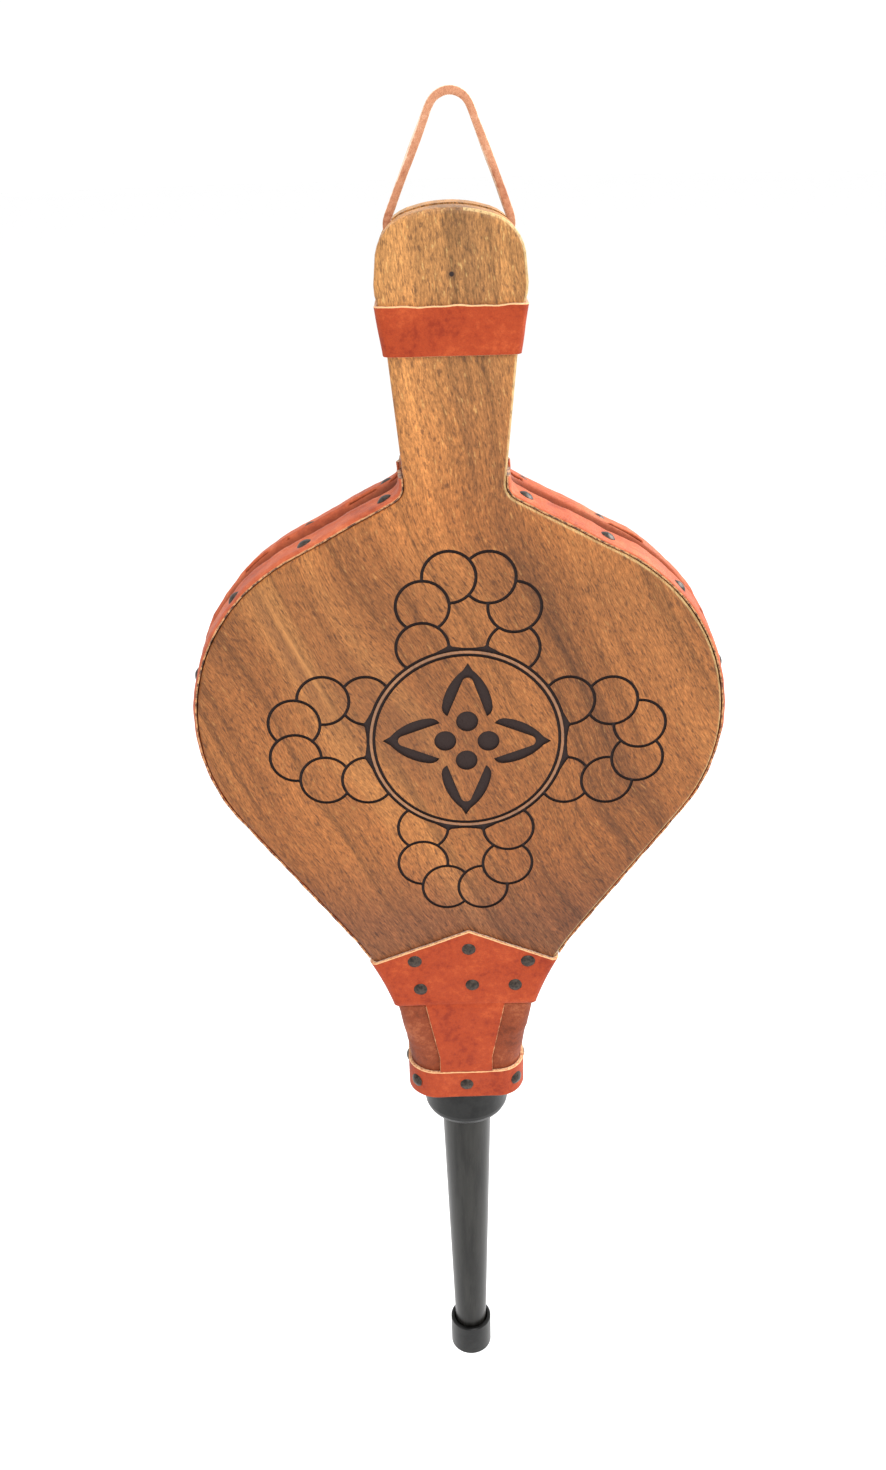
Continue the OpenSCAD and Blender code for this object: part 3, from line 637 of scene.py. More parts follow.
def nose_half_at(z):
    if z < FLARE_CZ:
        return NOSE_HALF
    return NOSE_HALF + FLARE_R - math.sqrt(FLARE_R ** 2 - (z - FLARE_CZ) ** 2)


def nose_section(z, grow):
    share = min(1.0, (HINGE_Z - z) / (NOSE_LONG - BAND_H))
    r = NOSE_TOP_R + (NOSE_R - NOSE_TOP_R) * share + grow
    return rounded_loop(nose_half_at(z) + grow, NOSE_FRONT - grow, NOSE_BACK + grow, r, z)


def ring_piece(name, zs, section, outward_wave, rim_top, rim_low):
    """A closed band of leather from a stack of sections."""
    loops, lengths = zip(*[section(z) for z in zs])
    points = np.array(loops)
    centre = points.mean(axis=1, keepdims=True)
    out = points - centre
    out[:, :, 2] = 0
    out /= np.linalg.norm(out, axis=2, keepdims=True)
    points = points + out * outward_wave(points, np.array(lengths))[:, :, None]
    uv = np.stack([np.array(lengths), points[:, :, 2]], -1) * MM
    z = points[:, :, 2]
    rim = (rim_top * np.exp(-((z - z.max()) / 0.5) ** 2) + rim_low * np.exp(-((z - z.min()) / 0.5) ** 2))
    return grid_mesh(name, points * MM, uv, rim, closed_columns=True)


# %% Nose wrap
def wrap_wave(points, s):
    x, y, z = np.moveaxis(points, 2, 0)
    bow = 0.18 * np.sin(z / 2.7 + 0.9 * np.sin(x / 6) + 1.4 * np.sin(y / 8))
    crease = (0.3 * np.exp(-((z + 338 - 0.16 * x) / 1.3) ** 2)
              - 0.2 * np.exp(-((z + 345 + 0.1 * x) / 1.0) ** 2))
    hidden = np.clip((-321.5 - z) / 3, 0, 1) * np.clip((z - BAND_Z) / 3, 0, 1)
    on_sides = np.clip((np.abs(x) - 9) / 6, 0, 1)
    puffed = 0.9 * np.sin(np.clip((HINGE_Z - z) / (HINGE_Z - BAND_Z), 0, 1) * math.pi)
    return ((bow + crease) * 0.8 + puffed) * hidden * on_sides


wrap = ring_piece("nose_wrap_leather", np.linspace(HINGE_Z - 1.0, NOSE_Z + 0.1, 48),
                  lambda z: nose_section(z, WRAP / 2 + 0.02), wrap_wave, 0.2, 0.2)
thicken(wrap, (WRAP - 0.1) * MM)
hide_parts("nose_wrap")
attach(wrap, "back_body")
print("wrap", len(wrap.data.polygons), "faces")

# %% [markdown]
# The nose band is a belt of thicker leather over the end of the wrap and the strap. It is nailed with eight
# tacks, one on each face and corner, and its upper edge shows the pale inside of the
# leather. It swells a little where it lies over the strap, and each tack pulls it in.

# %% Nose band tacks
BAND_MID_Z = BAND_Z - BAND_H / 2
band_out = WRAP + BAND_T
corner_reach = (NOSE_R + band_out) * math.cos(math.pi / 4)
band_spots = []
for sx in (-1, 1):
    band_spots.append(((sx * (NOSE_HALF + band_out), 0, BAND_MID_Z), (sx, 0, 0)))
    for y_mid, sy in ((NOSE_FRONT + NOSE_R, -1), (NOSE_BACK - NOSE_R, 1)):
        band_spots.append(((sx * (NOSE_HALF - NOSE_R + corner_reach), y_mid + sy * corner_reach,
                            BAND_MID_Z), (sx * 0.7071, sy * 0.7071, 0)))
for y, sy in ((NOSE_FRONT - band_out, -1), (NOSE_BACK + band_out, 1)):
    band_spots.append(((0, y, BAND_MID_Z), (0, sy, 0)))


# %% Nose band
def band_wave(points, s):
    x, y, z = np.moveaxis(points, 2, 0)
    pulled = near_tacks(points, band_spots, 3.4)
    over_strap = 0.25 * np.exp(-((x - STRAP_X) / 11) ** 6) * (y < 0) * np.clip((z - BAND_MID_Z) / 4, 0, 1)
    wave = 0.12 * np.sin(s / 5.1) + 0.08 * np.sin(s / 2.3 + 1)
    return over_strap + wave * (1 - pulled) - 0.22 * pulled


band = ring_piece("nose_band_leather", np.linspace(BAND_Z, BAND_Z - BAND_H, 26),
                  lambda z: nose_section(z, WRAP + BAND_T / 2 + 0.05), band_wave, 1.0, 0.4)
thicken(band, (BAND_T - 0.1) * MM)
soften(band, 0.25 * MM)
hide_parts("nose_band")
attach(band, "back_body")
print("band", len(band.data.polygons), "faces")

# %% [markdown]
# The keeper is a loose belt round both handles that holds the bellows shut. It narrows downwards,
# as the handles do, so it can only be slid up and off. Between the handles nothing backs it,
# and there it sinks in a little. When the bellows is opened with the keeper left on, the real belt is
# pulled close to the back handle.

# %% Keeper
TOP_Z, KEEPER_DROP, KEEPER_H = -30.0, 26.6, 15.0
KEEPER_T, KEEPER_R, KEEPER_SEAT, KEEPER_NARROW, HANDLE_HALF = 1.05, 2.0, 1.0, 2.3, 23.6
KEEPER_Z = TOP_Z - KEEPER_DROP - KEEPER_SEAT


def keeper_section(z):
    share = (KEEPER_Z - z) / KEEPER_H
    grow = KEEPER_T / 2
    half = HANDLE_HALF - KEEPER_SEAT - KEEPER_NARROW * share + CLEAR + grow
    return rounded_loop(half, FRONT_Y - CLEAR - grow, BACK_Y + CLEAR + grow, KEEPER_R + grow, z)


def keeper_wave(points, s):
    x, y, z = np.moveaxis(points, 2, 0)
    between = -0.08 * np.exp(-(y / 3.4) ** 4) * (np.abs(x) > 15)
    lift = 0.18 * np.sin(x / 9.0 + 0.4) * (np.abs(y) > 15)
    return between + np.abs(lift) + 0.06 * np.sin(s / 2.9 + z / 3)


keeper = ring_piece("keeper_leather", np.linspace(KEEPER_Z, KEEPER_Z - KEEPER_H, 30),
                    keeper_section, keeper_wave, 1.0, 0.2)
for vertex in keeper.data.vertices:
    s = vertex.co.x / MM
    at_top = (vertex.co.z / MM - (KEEPER_Z - KEEPER_H)) / KEEPER_H
    wander = 0.18 * math.sin(s / 3.1 + 1) + 0.12 * math.sin(s / 1.3)
    vertex.co.z += wander * MM * max(0.0, at_top * 4 - 3)
thicken(keeper, KEEPER_T * MM)
soften(keeper, 0.2 * MM)
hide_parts("keeper_band")
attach(keeper, "keeper")
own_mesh(keeper)
print("keeper", len(keeper.data.polygons), "faces")

# %% [markdown]
# Inside, over the intake hole, hangs the air valve: a flap of leather held at its top by a batten.
# Only its face shows, through the hole in the back board. Both are flat leather, so each is a
# rounded outline with a cut thickness, and the flap is slightly cupped, as leather dries.

# %% Valve
INTAKE_R, INTAKE_RISE, VALVE_T = 12.0, 115.0, 1.5
INTAKE_Z = HINGE_Z + INTAKE_RISE
VALVE_HALF, VALVE_TOP, BATTEN_H = INTAKE_R + 6, INTAKE_Z + INTAKE_R + 8, 8.0


def flat_leather(name, half_at, z_low, z_high, y, cup, rows=34, columns=26):
    """A flat piece of leather in the X-Z plane whose half width is given for each height."""
    points = np.zeros((rows, columns, 3))
    for i, z in enumerate(np.linspace(z_low, z_high, rows)):
        half = max(half_at(z), 0.6)
        x = np.linspace(-half, half, columns)
        points[i] = np.stack([x, y + cup(x, z), np.full(columns, z)], 1)
    half_wide = max(half_at(z) for z in np.linspace(z_low, z_high, rows))
    away = half_wide - np.abs(points[:, :, 0])
    return grid_mesh(name, points * MM, points[:, :, [0, 2]] * MM, 0.5 * np.exp(-(away / 0.5) ** 2))


def flap_half(z):
    if z >= INTAKE_Z:
        return VALVE_HALF
    return math.sqrt(max(0.0, VALVE_HALF ** 2 - (INTAKE_Z - z) ** 2))


flap = flat_leather("valve_flap_leather", flap_half, INTAKE_Z - VALVE_HALF + 0.02, VALVE_TOP - 0.1,
                    BACK_IN - 0.1 - VALVE_T / 2,
                    lambda x, z: -0.0006 * x * x * np.clip((VALVE_TOP - z) / 20, 0, 1))
thicken(flap, (VALVE_T - 0.1) * MM)
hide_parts("valve_flap")
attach(flap, "valve")

batten = flat_leather("valve_batten_leather", lambda z: VALVE_HALF + 2, VALVE_TOP + 0.35,
                      VALVE_TOP + 0.25 + BATTEN_H, BACK_IN - 0.05 - (VALVE_T + 0.05) / 2,
                      lambda x, z: 0.0 * x, rows=10)
thicken(batten, VALVE_T * MM)
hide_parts("valve_batten")
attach(batten, "back_body")
print("valve", len(flap.data.polygons), "and", len(batten.data.polygons), "faces")

# %% [markdown]
# Upholstery tacks are the pattern that repeats on this object: forty-nine small iron heads. Each was
# driven by hand, so no two sit quite alike. Copying one by hand would be slow and would look stamped.
# Geometry Nodes does it from rules: a point for each tack carries the direction that its head faces,
# one hammered head is placed on every point, and a fixed seed gives each its own turn, tilt and
# size. The tree ends in real geometry with a material, because instances don't leave Blender.

# %% One hammered tack head
TACK_D, TACK_DOME, SHANK_R, SHANK = 5.7, 1.2, 0.8, 2.4


def hammered_head():
    """A domed head with flats left by the hammer, and the start of its shank."""
    b = bmesh.new()
    rings, sides = 6, 20
    radius = TACK_D / 2
    ball = (radius ** 2 + TACK_DOME ** 2) / (2 * TACK_DOME)
    rows = []
    for k in range(rings + 1):
        r = radius * math.sin(k / rings * math.pi / 2)
        z = TACK_DOME - ball + math.sqrt(ball ** 2 - r ** 2)
        row = []
        for i in range(1 if k == 0 else sides):
            a = 2 * math.pi * i / sides
            facet = 0.10 * math.cos(3 * a + 0.5) + 0.07 * math.cos(5 * a + k)
            bump = facet * math.sin(math.pi * k / rings) * 0.6
            wobble = 1 + 0.02 * math.cos(2 * a + 1) + 0.012 * math.cos(7 * a)
            row.append(b.verts.new((r * wobble * math.cos(a), r * wobble * math.sin(a), z + bump)))
        rows.append(row)
    under = [b.verts.new((v.co.x * 0.97, v.co.y * 0.97, -0.12)) for v in rows[-1]]
    neck = [b.verts.new((SHANK_R * math.cos(2 * math.pi * i / sides),
                         SHANK_R * math.sin(2 * math.pi * i / sides), -0.12)) for i in range(sides)]
    foot = [b.verts.new((v.co.x, v.co.y, -SHANK)) for v in neck]
    rows += [under, neck, foot]
    for i in range(sides):
        b.faces.new((rows[0][0], rows[1][i], rows[1][(i + 1) % sides]))
    for low, high in zip(rows[1:], rows[2:]):
        for i in range(sides):
            k = (i + 1) % sides
            b.faces.new((low[i], high[i], high[k], low[k]))
    b.faces.new(foot)
    bmesh.ops.recalc_face_normals(b, faces=b.faces)
    mesh = bpy.data.meshes.new("tack_head")
    b.to_mesh(mesh)
    b.free()
    mesh.transform(Matrix.Scale(MM, 4))
    return smooth_piece("tack_head", mesh)


tack_head = hammered_head()
print("one head has", len(tack_head.data.polygons), "faces")


# %% Tacks from points
def tack_tree(material):
    """Geometry nodes: a hammered head on every point, facing along the point's own direction."""
    tree = bpy.data.node_groups.new("driven_tacks", "GeometryNodeTree")
    face = tree.interface
    face.new_socket("Geometry", in_out="INPUT", socket_type="NodeSocketGeometry")
    sockets = {}
    for label, kind, value in (("Head", "NodeSocketObject", None), ("Size spread", "NodeSocketFloat", 0.05),
                               ("Tilt", "NodeSocketFloat", 0.07), ("Seed", "NodeSocketInt", 7)):
        socket = face.new_socket(label, in_out="INPUT", socket_type=kind)
        if value is not None:
            socket.default_value = value
        sockets[label] = socket.identifier
    face.new_socket("Geometry", in_out="OUTPUT", socket_type="NodeSocketGeometry")

    def node(kind, **props):
        n = tree.nodes.new(kind)
        for key, value in props.items():
            setattr(n, key, value)
        return n

    def join(a, b):
        tree.links.new(a, b)

    start, end = node("NodeGroupInput"), node("NodeGroupOutput")
    head = node("GeometryNodeObjectInfo")
    join(start.outputs["Head"], head.inputs["Object"])
    facing = node("GeometryNodeInputNamedAttribute", data_type="FLOAT_VECTOR")
    facing.inputs["Name"].default_value = "facing"
    align = node("FunctionNodeAlignRotationToVector", axis="Z")
    join(facing.outputs["Attribute"], align.inputs["Vector"])
    # a random turn about the nail, and a little tilt
    spin = node("FunctionNodeRandomValue", data_type="FLOAT_VECTOR")
    low, high = node("ShaderNodeCombineXYZ"), node("ShaderNodeCombineXYZ")
    less = node("ShaderNodeMath", operation="MULTIPLY")
    less.inputs[1].default_value = -1.0
    join(start.outputs["Tilt"], less.inputs[0])
    for axis in ("X", "Y"):
        join(less.outputs[0], low.inputs[axis])
        join(start.outputs["Tilt"], high.inputs[axis])
    high.inputs["Z"].default_value = 2 * math.pi
    join(low.outputs[0], spin.inputs["Min"])
    join(high.outputs[0], spin.inputs["Max"])
    join(start.outputs["Seed"], spin.inputs["Seed"])
    turn = node("FunctionNodeRotateRotation", rotation_space="LOCAL")
    as_rotation = node("FunctionNodeEulerToRotation")
    join(spin.outputs["Value"], as_rotation.inputs["Euler"])
    join(align.outputs["Rotation"], turn.inputs["Rotation"])
    join(as_rotation.outputs["Rotation"], turn.inputs["Rotate By"])
    # a random size
    size = node("FunctionNodeRandomValue", data_type="FLOAT")
    smaller = node("ShaderNodeMath", operation="SUBTRACT")
    smaller.inputs[0].default_value = 1.0
    join(start.outputs["Size spread"], smaller.inputs[1])
    join(smaller.outputs[0], size.inputs["Min"])
    size.inputs["Max"].default_value = 1.0
    join(start.outputs["Seed"], size.inputs["Seed"])
    place = node("GeometryNodeInstanceOnPoints")
    join(start.outputs["Geometry"], place.inputs["Points"])
    join(head.outputs["Geometry"], place.inputs["Instance"])
    join(turn.outputs["Rotation"], place.inputs["Rotation"])
    join(size.outputs["Value"], place.inputs["Scale"])
    real = node("GeometryNodeRealizeInstances")
    paint = node("GeometryNodeSetMaterial")
    paint.inputs["Material"].default_value = material
    join(place.outputs["Instances"], real.inputs["Geometry"])
    join(real.outputs["Geometry"], paint.inputs["Geometry"])
    join(paint.outputs["Geometry"], end.inputs["Geometry"])
    return tree, sockets


def drive_tacks(name, spots, node_name, body, seed, material, sink=0.0):
    """One mesh piece with a tack at every spot, in place of the frame's plain ones."""
    mesh = bpy.data.meshes.new(name + "_spots")
    mesh.from_pydata([[c * MM for c in np.array(p) - np.array(n) * sink] for p, n in spots], [], [])
    facing = mesh.attributes.new("facing", "FLOAT_VECTOR", "POINT")
    facing.data.foreach_set("vector", np.array([n for _, n in spots], np.float32).ravel())
    rough = bpy.data.objects.new(name + "_spots", mesh)
    scene.collection.objects.link(rough)
    tree, sockets = tack_tree(material)
    modifier = rough.modifiers.new("tacks", "NODES")
    modifier.node_group = tree
    modifier[sockets["Head"]] = tack_head
    modifier[sockets["Size spread"]] = 0.05
    modifier[sockets["Tilt"]] = 0.07
    modifier[sockets["Seed"]] = seed
    made = bpy.data.meshes.new_from_object(rough.evaluated_get(bpy.context.evaluated_depsgraph_get()))
    piece = bpy.data.objects.new(name, made)
    scene.collection.objects.link(piece)
    bpy.data.objects.remove(rough)
    bpy.data.node_groups.remove(tree)
    made.polygons.foreach_set("use_smooth", [True] * len(made.polygons))
    add_materials(piece, material)
    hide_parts(node_name)
    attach(piece, body)
    return piece

# %% [markdown]
# Every finish below is a node recipe: no pictures, only noise, ramps and measurements of place.
# The helper keeps such a recipe short. It adds a node, sets or links its sockets by name and returns
# the socket that comes out, so a recipe reads from top to bottom like a list of steps.

# %% Recipe helper
def linear(r, g, b):
    """A colour as a painter reads it, 0 to 255, turned into the light that it reflects."""
    return tuple(((c / 255 + 0.055) / 1.055) ** 2.4 if c > 10 else c / 255 / 12.92
                 for c in (r, g, b)) + (1.0,)


class Value:
    """What one node gives out; a sum or a product of values adds the node that works it out."""
    def __init__(self, recipe, socket):
        self.recipe, self.socket = recipe, socket

    def __add__(self, other):
        return self.recipe.math("ADD", self, other)

    def __sub__(self, other):
        return self.recipe.math("SUBTRACT", self, other)

    def __mul__(self, other):
        return self.recipe.math("MULTIPLY", self, other)

    def __truediv__(self, other):
        return self.recipe.math("DIVIDE", self, other)


class Recipe:
    def __init__(self, name):
        self.material = bpy.data.materials.new(name)
        self.material.use_nodes = True
        self.tree = self.material.node_tree
        self.surface = self.tree.nodes["Principled BSDF"]

    def add(self, kind, out=0, sockets=None, **props):
        node = self.tree.nodes.new("ShaderNode" + kind)
        for key, value in props.items():
            setattr(node, key, value)
        for key, value in (sockets or {}).items():
            self.put(node.inputs[key], value)
        return Value(self, node.outputs[out])

    def put(self, socket, value):
        if isinstance(value, Value):
            self.tree.links.new(value.socket, socket)
        else:
            socket.default_value = value

    def place(self):
        """Where a point lies on its own piece."""
        return self.add("TexCoord", out=3)

    def math(self, operation, a, b=0.0, c=0.0):
        return self.add("Math", sockets={0: a, 1: b, 2: c}, operation=operation)

    def mix(self, share, a, b, blend="MIX"):
        return self.add("Mix", out=2, sockets={0: share, 6: a, 7: b}, data_type="RGBA", blend_type=blend)

    def ramp(self, value, *stops, smooth=True):
        made = self.add("ValToRGB", sockets={0: value})
        ramp = made.socket.node.color_ramp
        ramp.interpolation = "EASE" if smooth else "LINEAR"
        while len(ramp.elements) < len(stops):
            ramp.elements.new(1.0)
        for element, (place, colour) in zip(ramp.elements, stops):
            element.position = place
            element.color = colour if isinstance(colour, tuple) else (colour, colour, colour, 1)
        return made

    def noise(self, vector, scale, detail=3.0, rough=0.55, warp=0.0):
        return self.add("TexNoise", sockets={"Vector": vector, "Scale": scale, "Detail": detail,
                                             "Roughness": rough, "Distortion": warp})

    def vector(self, x, y, z):
        return self.add("CombineXYZ", sockets={0: x, 1: y, 2: z})

    def distance(self, x, z, x0, z0):
        """How far a point lies from a spot on the board's face, in metres."""
        dx, dz = x - x0 * MM, z - z0 * MM
        return self.math("SQRT", dx * dx + dz * dz)

    def band(self, value, centre, width):
        """1 at one value and fading to 0 on both sides of it."""
        away = (value - centre) / width
        return self.math("EXPONENT", away * away * -1.0)

    def bump(self, height, strength, distance):
        return self.add("Bump", sockets={"Height": height, "Strength": strength, "Distance": distance})

    def finish(self, **sockets):
        for key, value in sockets.items():
            self.put(self.surface.inputs[key.replace("_", " ")], value)
        return self.material


print("recipes ready")

# %% [markdown]
# Walnut: oiled, open-grained and brown, with broad darker bands, a golden streak and thousands of
# short dark pores. On this board the grain runs across the body at a slant and turns upright at
# the neck. A flat image would not follow round the edges, so the grain is worked out in
# space: one coordinate counts across the grain and one runs along it, and every pattern is stretched
# between the two. The carved lines were filled dark, and depth below the face tells where they are.

# %% Walnut
CARVE_X, CARVE_Z, CARVE_REACH = 2.4, BELLY_Z - 7.6, 0.074
HOLE_X, HOLE_Z, BEAD_R = 0.2, -48.7, 0.0340
GRAIN_LEAN, NECK_LEAN, NECK_TURN_Z = 0.50, 0.10, -0.128
# how far the painted light falloff darkens or lightens the wood, over the 31 cm that end 3 cm below the hook
LIGHT_FALLOFF_LOW, LIGHT_FALLOFF_SPAN = -0.34, 0.31
LIGHT_FALLOFF_BY_HEIGHT = [(0.0, (0.42, 0.38, 0.40, 1)), (0.19, (0.47, 0.42, 0.44, 1)),
                  (0.29, (0.77, 0.69, 0.52, 1)), (0.42, (0.82, 0.77, 0.60, 1)),
                  (0.61, (0.72, 0.70, 0.58, 1)), (0.70, (1.02, 0.97, 0.76, 1)),
                  (0.78, (1.16, 1.22, 1.02, 1)), (0.95, (1.26, 1.56, 1.44, 1))]
# the painted highlight on the right-hand edge is put in this depth of the front, and outside the carving
EDGE_DEPTH, EDGE_FROM_CENTRE, EDGE_MIN_X = 0.0024, 0.060, 0.004


def walnut(name, base, carved=False, seed=0.0):
    r = Recipe(name)
    split = r.add("SeparateXYZ", sockets={0: r.place()})
    x, y, z = [Value(r, socket) for socket in split.socket.node.outputs]
    # the count across the grain: it leans with the body's slant and straightens at the neck
    below = r.math("SMOOTH_MIN", z, NECK_TURN_Z, 0.03)
    above = r.math("SMOOTH_MAX", z, NECK_TURN_Z, 0.03)
    wander = r.noise(r.vector(x * 9.0, seed, z * 6.0), 1.0, 2.0)
    across = x + (below * GRAIN_LEAN + above * NECK_LEAN) + wander * 0.030

    def along_grain(a, b, c, detail=3.0, rough=0.6, warp=0.0):
        return r.noise(r.vector(across * a, y * b, z * c), 1.0, detail, rough, warp)

    # broad bands, finer stripes, fibres and flecks
    wide = along_grain(34.0, 14.0, 3.0, 3.0, 0.55, 0.3)
    stripe = along_grain(260.0, 90.0, 7.0, 4.0, 0.65)
    fibre = along_grain(1900.0, 900.0, 420.0, 3.0, 0.75)
    fleck = along_grain(1100.0, 600.0, 330.0, 2.0, 0.6)
    colour = r.ramp(wide, *zip((0.34, 0.46, 0.56, 0.70), base))
    stripes = r.ramp(stripe, (0.34, 0.56), (0.46, 0.90), (0.56, 1.02), (0.70, 1.22))
    colour = r.mix(0.85, colour, stripes, "MULTIPLY")
    fibres = r.ramp(fibre, (0.34, 0.46), (0.5, 1.0), (0.66, 1.56))
    colour = r.mix(0.80, colour, fibres, "MULTIPLY")
    # open pores: short dark dashes along the grain, and pale flecks between them
    pores = r.ramp(fleck, (0.32, 1.0), (0.42, 0.0))
    colour = r.mix(pores * 0.60, colour, linear(84, 50, 32))
    colour = r.mix(r.ramp(fleck, (0.60, 0.0), (0.74, 1.0)) * 0.32, colour, linear(226, 172, 112))
    # painted light: the wood is painted lighter towards the handle and darker towards the bottom, as the
    # light falls off downward
    height = r.math("MULTIPLY_ADD", z, 1 / LIGHT_FALLOFF_SPAN, -LIGHT_FALLOFF_LOW / LIGHT_FALLOFF_SPAN)
    colour = r.mix(1.0, colour, r.ramp(height, *LIGHT_FALLOFF_BY_HEIGHT, smooth=False), "MULTIPLY")
    rough = fibre * 0.16 + 0.42
    # painted highlight: the rounded right-hand edge of the front is painted pale, where the light from the
    # right catches it
    depth = r.math("MULTIPLY_ADD", y, 1 / EDGE_DEPTH, -FRONT_Y * MM / EDGE_DEPTH)
    from_centre = r.distance(x, z, CARVE_X, CARVE_Z)
    edge = (r.ramp(depth, (0.04, 0.0), (0.2, 1.0), (0.6, 1.0), (0.85, 0.0))
            * (r.math("GREATER_THAN", x, EDGE_MIN_X) * r.math("GREATER_THAN", from_centre, EDGE_FROM_CENTRE)))
    painted_edge_highlight = edge * r.ramp(fibre, (0.3, 0.3), (0.6, 1.0))
    colour = r.mix(painted_edge_highlight * 0.55, colour, linear(226, 200, 140))
    if carved:
        colour, rough = board_marks(r, x, y, z, across, from_centre, colour, rough)
    normal = r.bump(pores * -1.0 + fibre * 0.8, 0.5, 0.00014)
    return r.finish(Base_Color=colour, Roughness=rough, Normal=normal, Specular_IOR_Level=0.3)


def board_marks(r, x, y, z, across, from_centre, colour, rough):
    """The golden streak, the nail hole and the filled carving of the front board."""
    # a streak, its shadow and a cloud of smoke: where they lie across and up, and how wide
    for a, a_width, up, up_width, share, paint in (
            (-0.1345, 0.0012, -0.170, 0.022, 0.55, (214, 148, 84)),
            (-0.1385, 0.0028, -0.172, 0.030, 0.45, (110, 68, 42)),
            (-0.118, 0.022, -0.200, 0.030, 0.42, (92, 58, 40))):
        mark = r.band(across, a, a_width) * r.band(z, up, up_width)
        colour = r.mix(mark * share, colour, linear(*paint))
    from_hole = r.distance(x, z, HOLE_X, HOLE_Z) * (1 / (3 * MM))
    colour = r.mix(r.ramp(from_hole, (0.20, 1.0), (0.30, 0.35), (0.75, 0.0)), colour, linear(38, 22, 18))
    # the carving: below the face, and near enough to its middle not to be the board's own edge
    filled = (r.math("LESS_THAN", from_centre, CARVE_REACH)
              * r.math("GREATER_THAN", y, (FRONT_Y + 0.12) * MM)
              * r.math("LESS_THAN", y, (FRONT_Y + 3.0) * MM))
    # the bead between the medallion's two lines is painted paler and greyer than the wood
    bead = r.band(from_centre, BEAD_R, 0.0006) * r.math("SUBTRACT", 1.0, filled)
    colour = r.mix(bead * 0.6, colour, linear(150, 117, 94))
    return r.mix(filled, colour, linear(44, 30, 27)), rough + filled * 0.2


front_walnut = walnut("walnut_front", (linear(122, 76, 46), linear(158, 99, 57),
                                       linear(172, 110, 64), linear(192, 130, 78)), carved=True)
back_walnut = walnut("walnut_back", (linear(116, 72, 44), linear(148, 93, 54),
                                     linear(162, 104, 61), linear(180, 122, 74)), seed=3.7)
for node_name, finish in (("front_board", front_walnut), ("back_board", back_walnut),
                          ("nose_block", back_walnut)):
    add_materials(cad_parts[node_name], finish)
print("walnut on 3 pieces")

# %% [markdown]
# All the leather is the same vegetable-tanned kind in a few dyes. Close up it is mottled: the dye took
# unevenly, and fine pores and creases catch the light. A cut edge was never dyed, so it
# is pale and a little hairy. The rim attribute that every sheet carries says where that is.

# %% Leather
def leather(name, dark, mid, light, pale, mottle=420.0, rough=0.62, grain=0.5, folded=False):
    r = Recipe(name)
    place = r.place()
    cloud = r.noise(place, 55.0, 4.0, 0.6, 0.4)
    speck = r.noise(place, mottle, 4.0, 0.7)
    colour = r.ramp(cloud * 0.55 + speck * 0.45, (0.36, linear(*dark)), (0.50, linear(*mid)),
                    (0.64, linear(*light)))
    crease = r.add("TexVoronoi", sockets={"Vector": place, "Scale": mottle * 1.9, "Randomness": 1.0},
                   feature="DISTANCE_TO_EDGE")
    lines = r.ramp(crease, (0.0, 1.0), (0.10, 0.0))
    colour = r.mix(lines * 0.20, colour, linear(*dark))
    fine = r.noise(place, 2600.0, 2.0, 0.6)
    colour = r.mix(0.35, colour, r.ramp(fine, (0.32, 0.74), (0.5, 1.0), (0.70, 1.22)), "MULTIPLY")
    rim = r.add("Attribute", out=2, attribute_name="rim")
    raw = (r.ramp(rim + (speck - 0.5) * 0.5, (0.38, 0.0), (0.62, 1.0))
           * r.ramp(rim, (0.05, 0.0), (0.2, 1.0)))
    colour = r.mix(raw, colour, linear(*pale))
    if folded:
        # painted shade: the leather is painted darker deep in the fold, where shade falls
        valley = r.add("Attribute", out=2, attribute_name="valley")
        painted_fold_shade = r.ramp(valley + (cloud - 0.5) * 0.4, (0.10, 0.0), (0.60, 1.0))
        colour = r.mix(painted_fold_shade * 0.8, colour, linear(98, 48, 30))
    normal = r.bump(lines * -grain + speck * 0.8, 0.45, 0.00018)
    return r.finish(Base_Color=colour, Roughness=speck * 0.18 + (rough - 0.09), Normal=normal,
                    Sheen_Weight=0.02, Sheen_Roughness=0.5, Specular_IOR_Level=0.2)


def raw_edge(name, base, dark, spots=900.0):
    r = Recipe(name)
    layers = r.noise(r.place(), spots, 4.0, 0.7)
    fuzz = r.noise(r.place(), 3200.0, 2.0, 0.6)
    colour = r.ramp(layers, (0.40, linear(*dark)), (0.58, linear(*base)))
    normal = r.bump(layers + fuzz * 0.6, 0.6, 0.00025)
    return r.finish(Base_Color=colour, Roughness=0.85, Normal=normal, Sheen_Weight=0.4)


PALE = (232, 184, 132)
pale_edge = raw_edge("leather_cut_edge", PALE, (186, 112, 70))
thin_edge = raw_edge("leather_pared_edge", (206, 150, 98), (84, 48, 30), spots=520.0)
dark_edge = raw_edge("leather_worn_edge", (176, 98, 62), (120, 56, 36))
hinge_dye = leather("leather_hinge", (138, 44, 18), (164, 62, 27), (182, 78, 38), PALE)
gusset_dye = leather("leather_gusset", (156, 68, 38), (184, 88, 52), (204, 110, 70), (222, 150, 108),
                     mottle=300.0, rough=0.55, folded=True)
wrap_dye = leather("leather_wrap", (106, 48, 26), (134, 63, 36), (161, 87, 55), (189, 117, 78),
                   mottle=520.0, rough=0.70, grain=0.9)
valve_dye = leather("leather_valve", (160, 96, 62), (190, 122, 82), (212, 148, 106), PALE)
lace_dye = leather("leather_lace", (170, 108, 78), (200, 140, 106), (222, 172, 140), (240, 212, 186),
                   mottle=700.0)
for piece, dye, edge in ((gusset, gusset_dye, thin_edge), (hinge_leather, hinge_dye, pale_edge),
                         (wrap, wrap_dye, dark_edge), (band, hinge_dye, pale_edge),
                         (keeper, hinge_dye, pale_edge), (flap, valve_dye, pale_edge),
                         (batten, valve_dye, pale_edge), (lace, lace_dye, pale_edge)):
    add_materials(piece, dye, edge)
print("leather on 8 pieces")

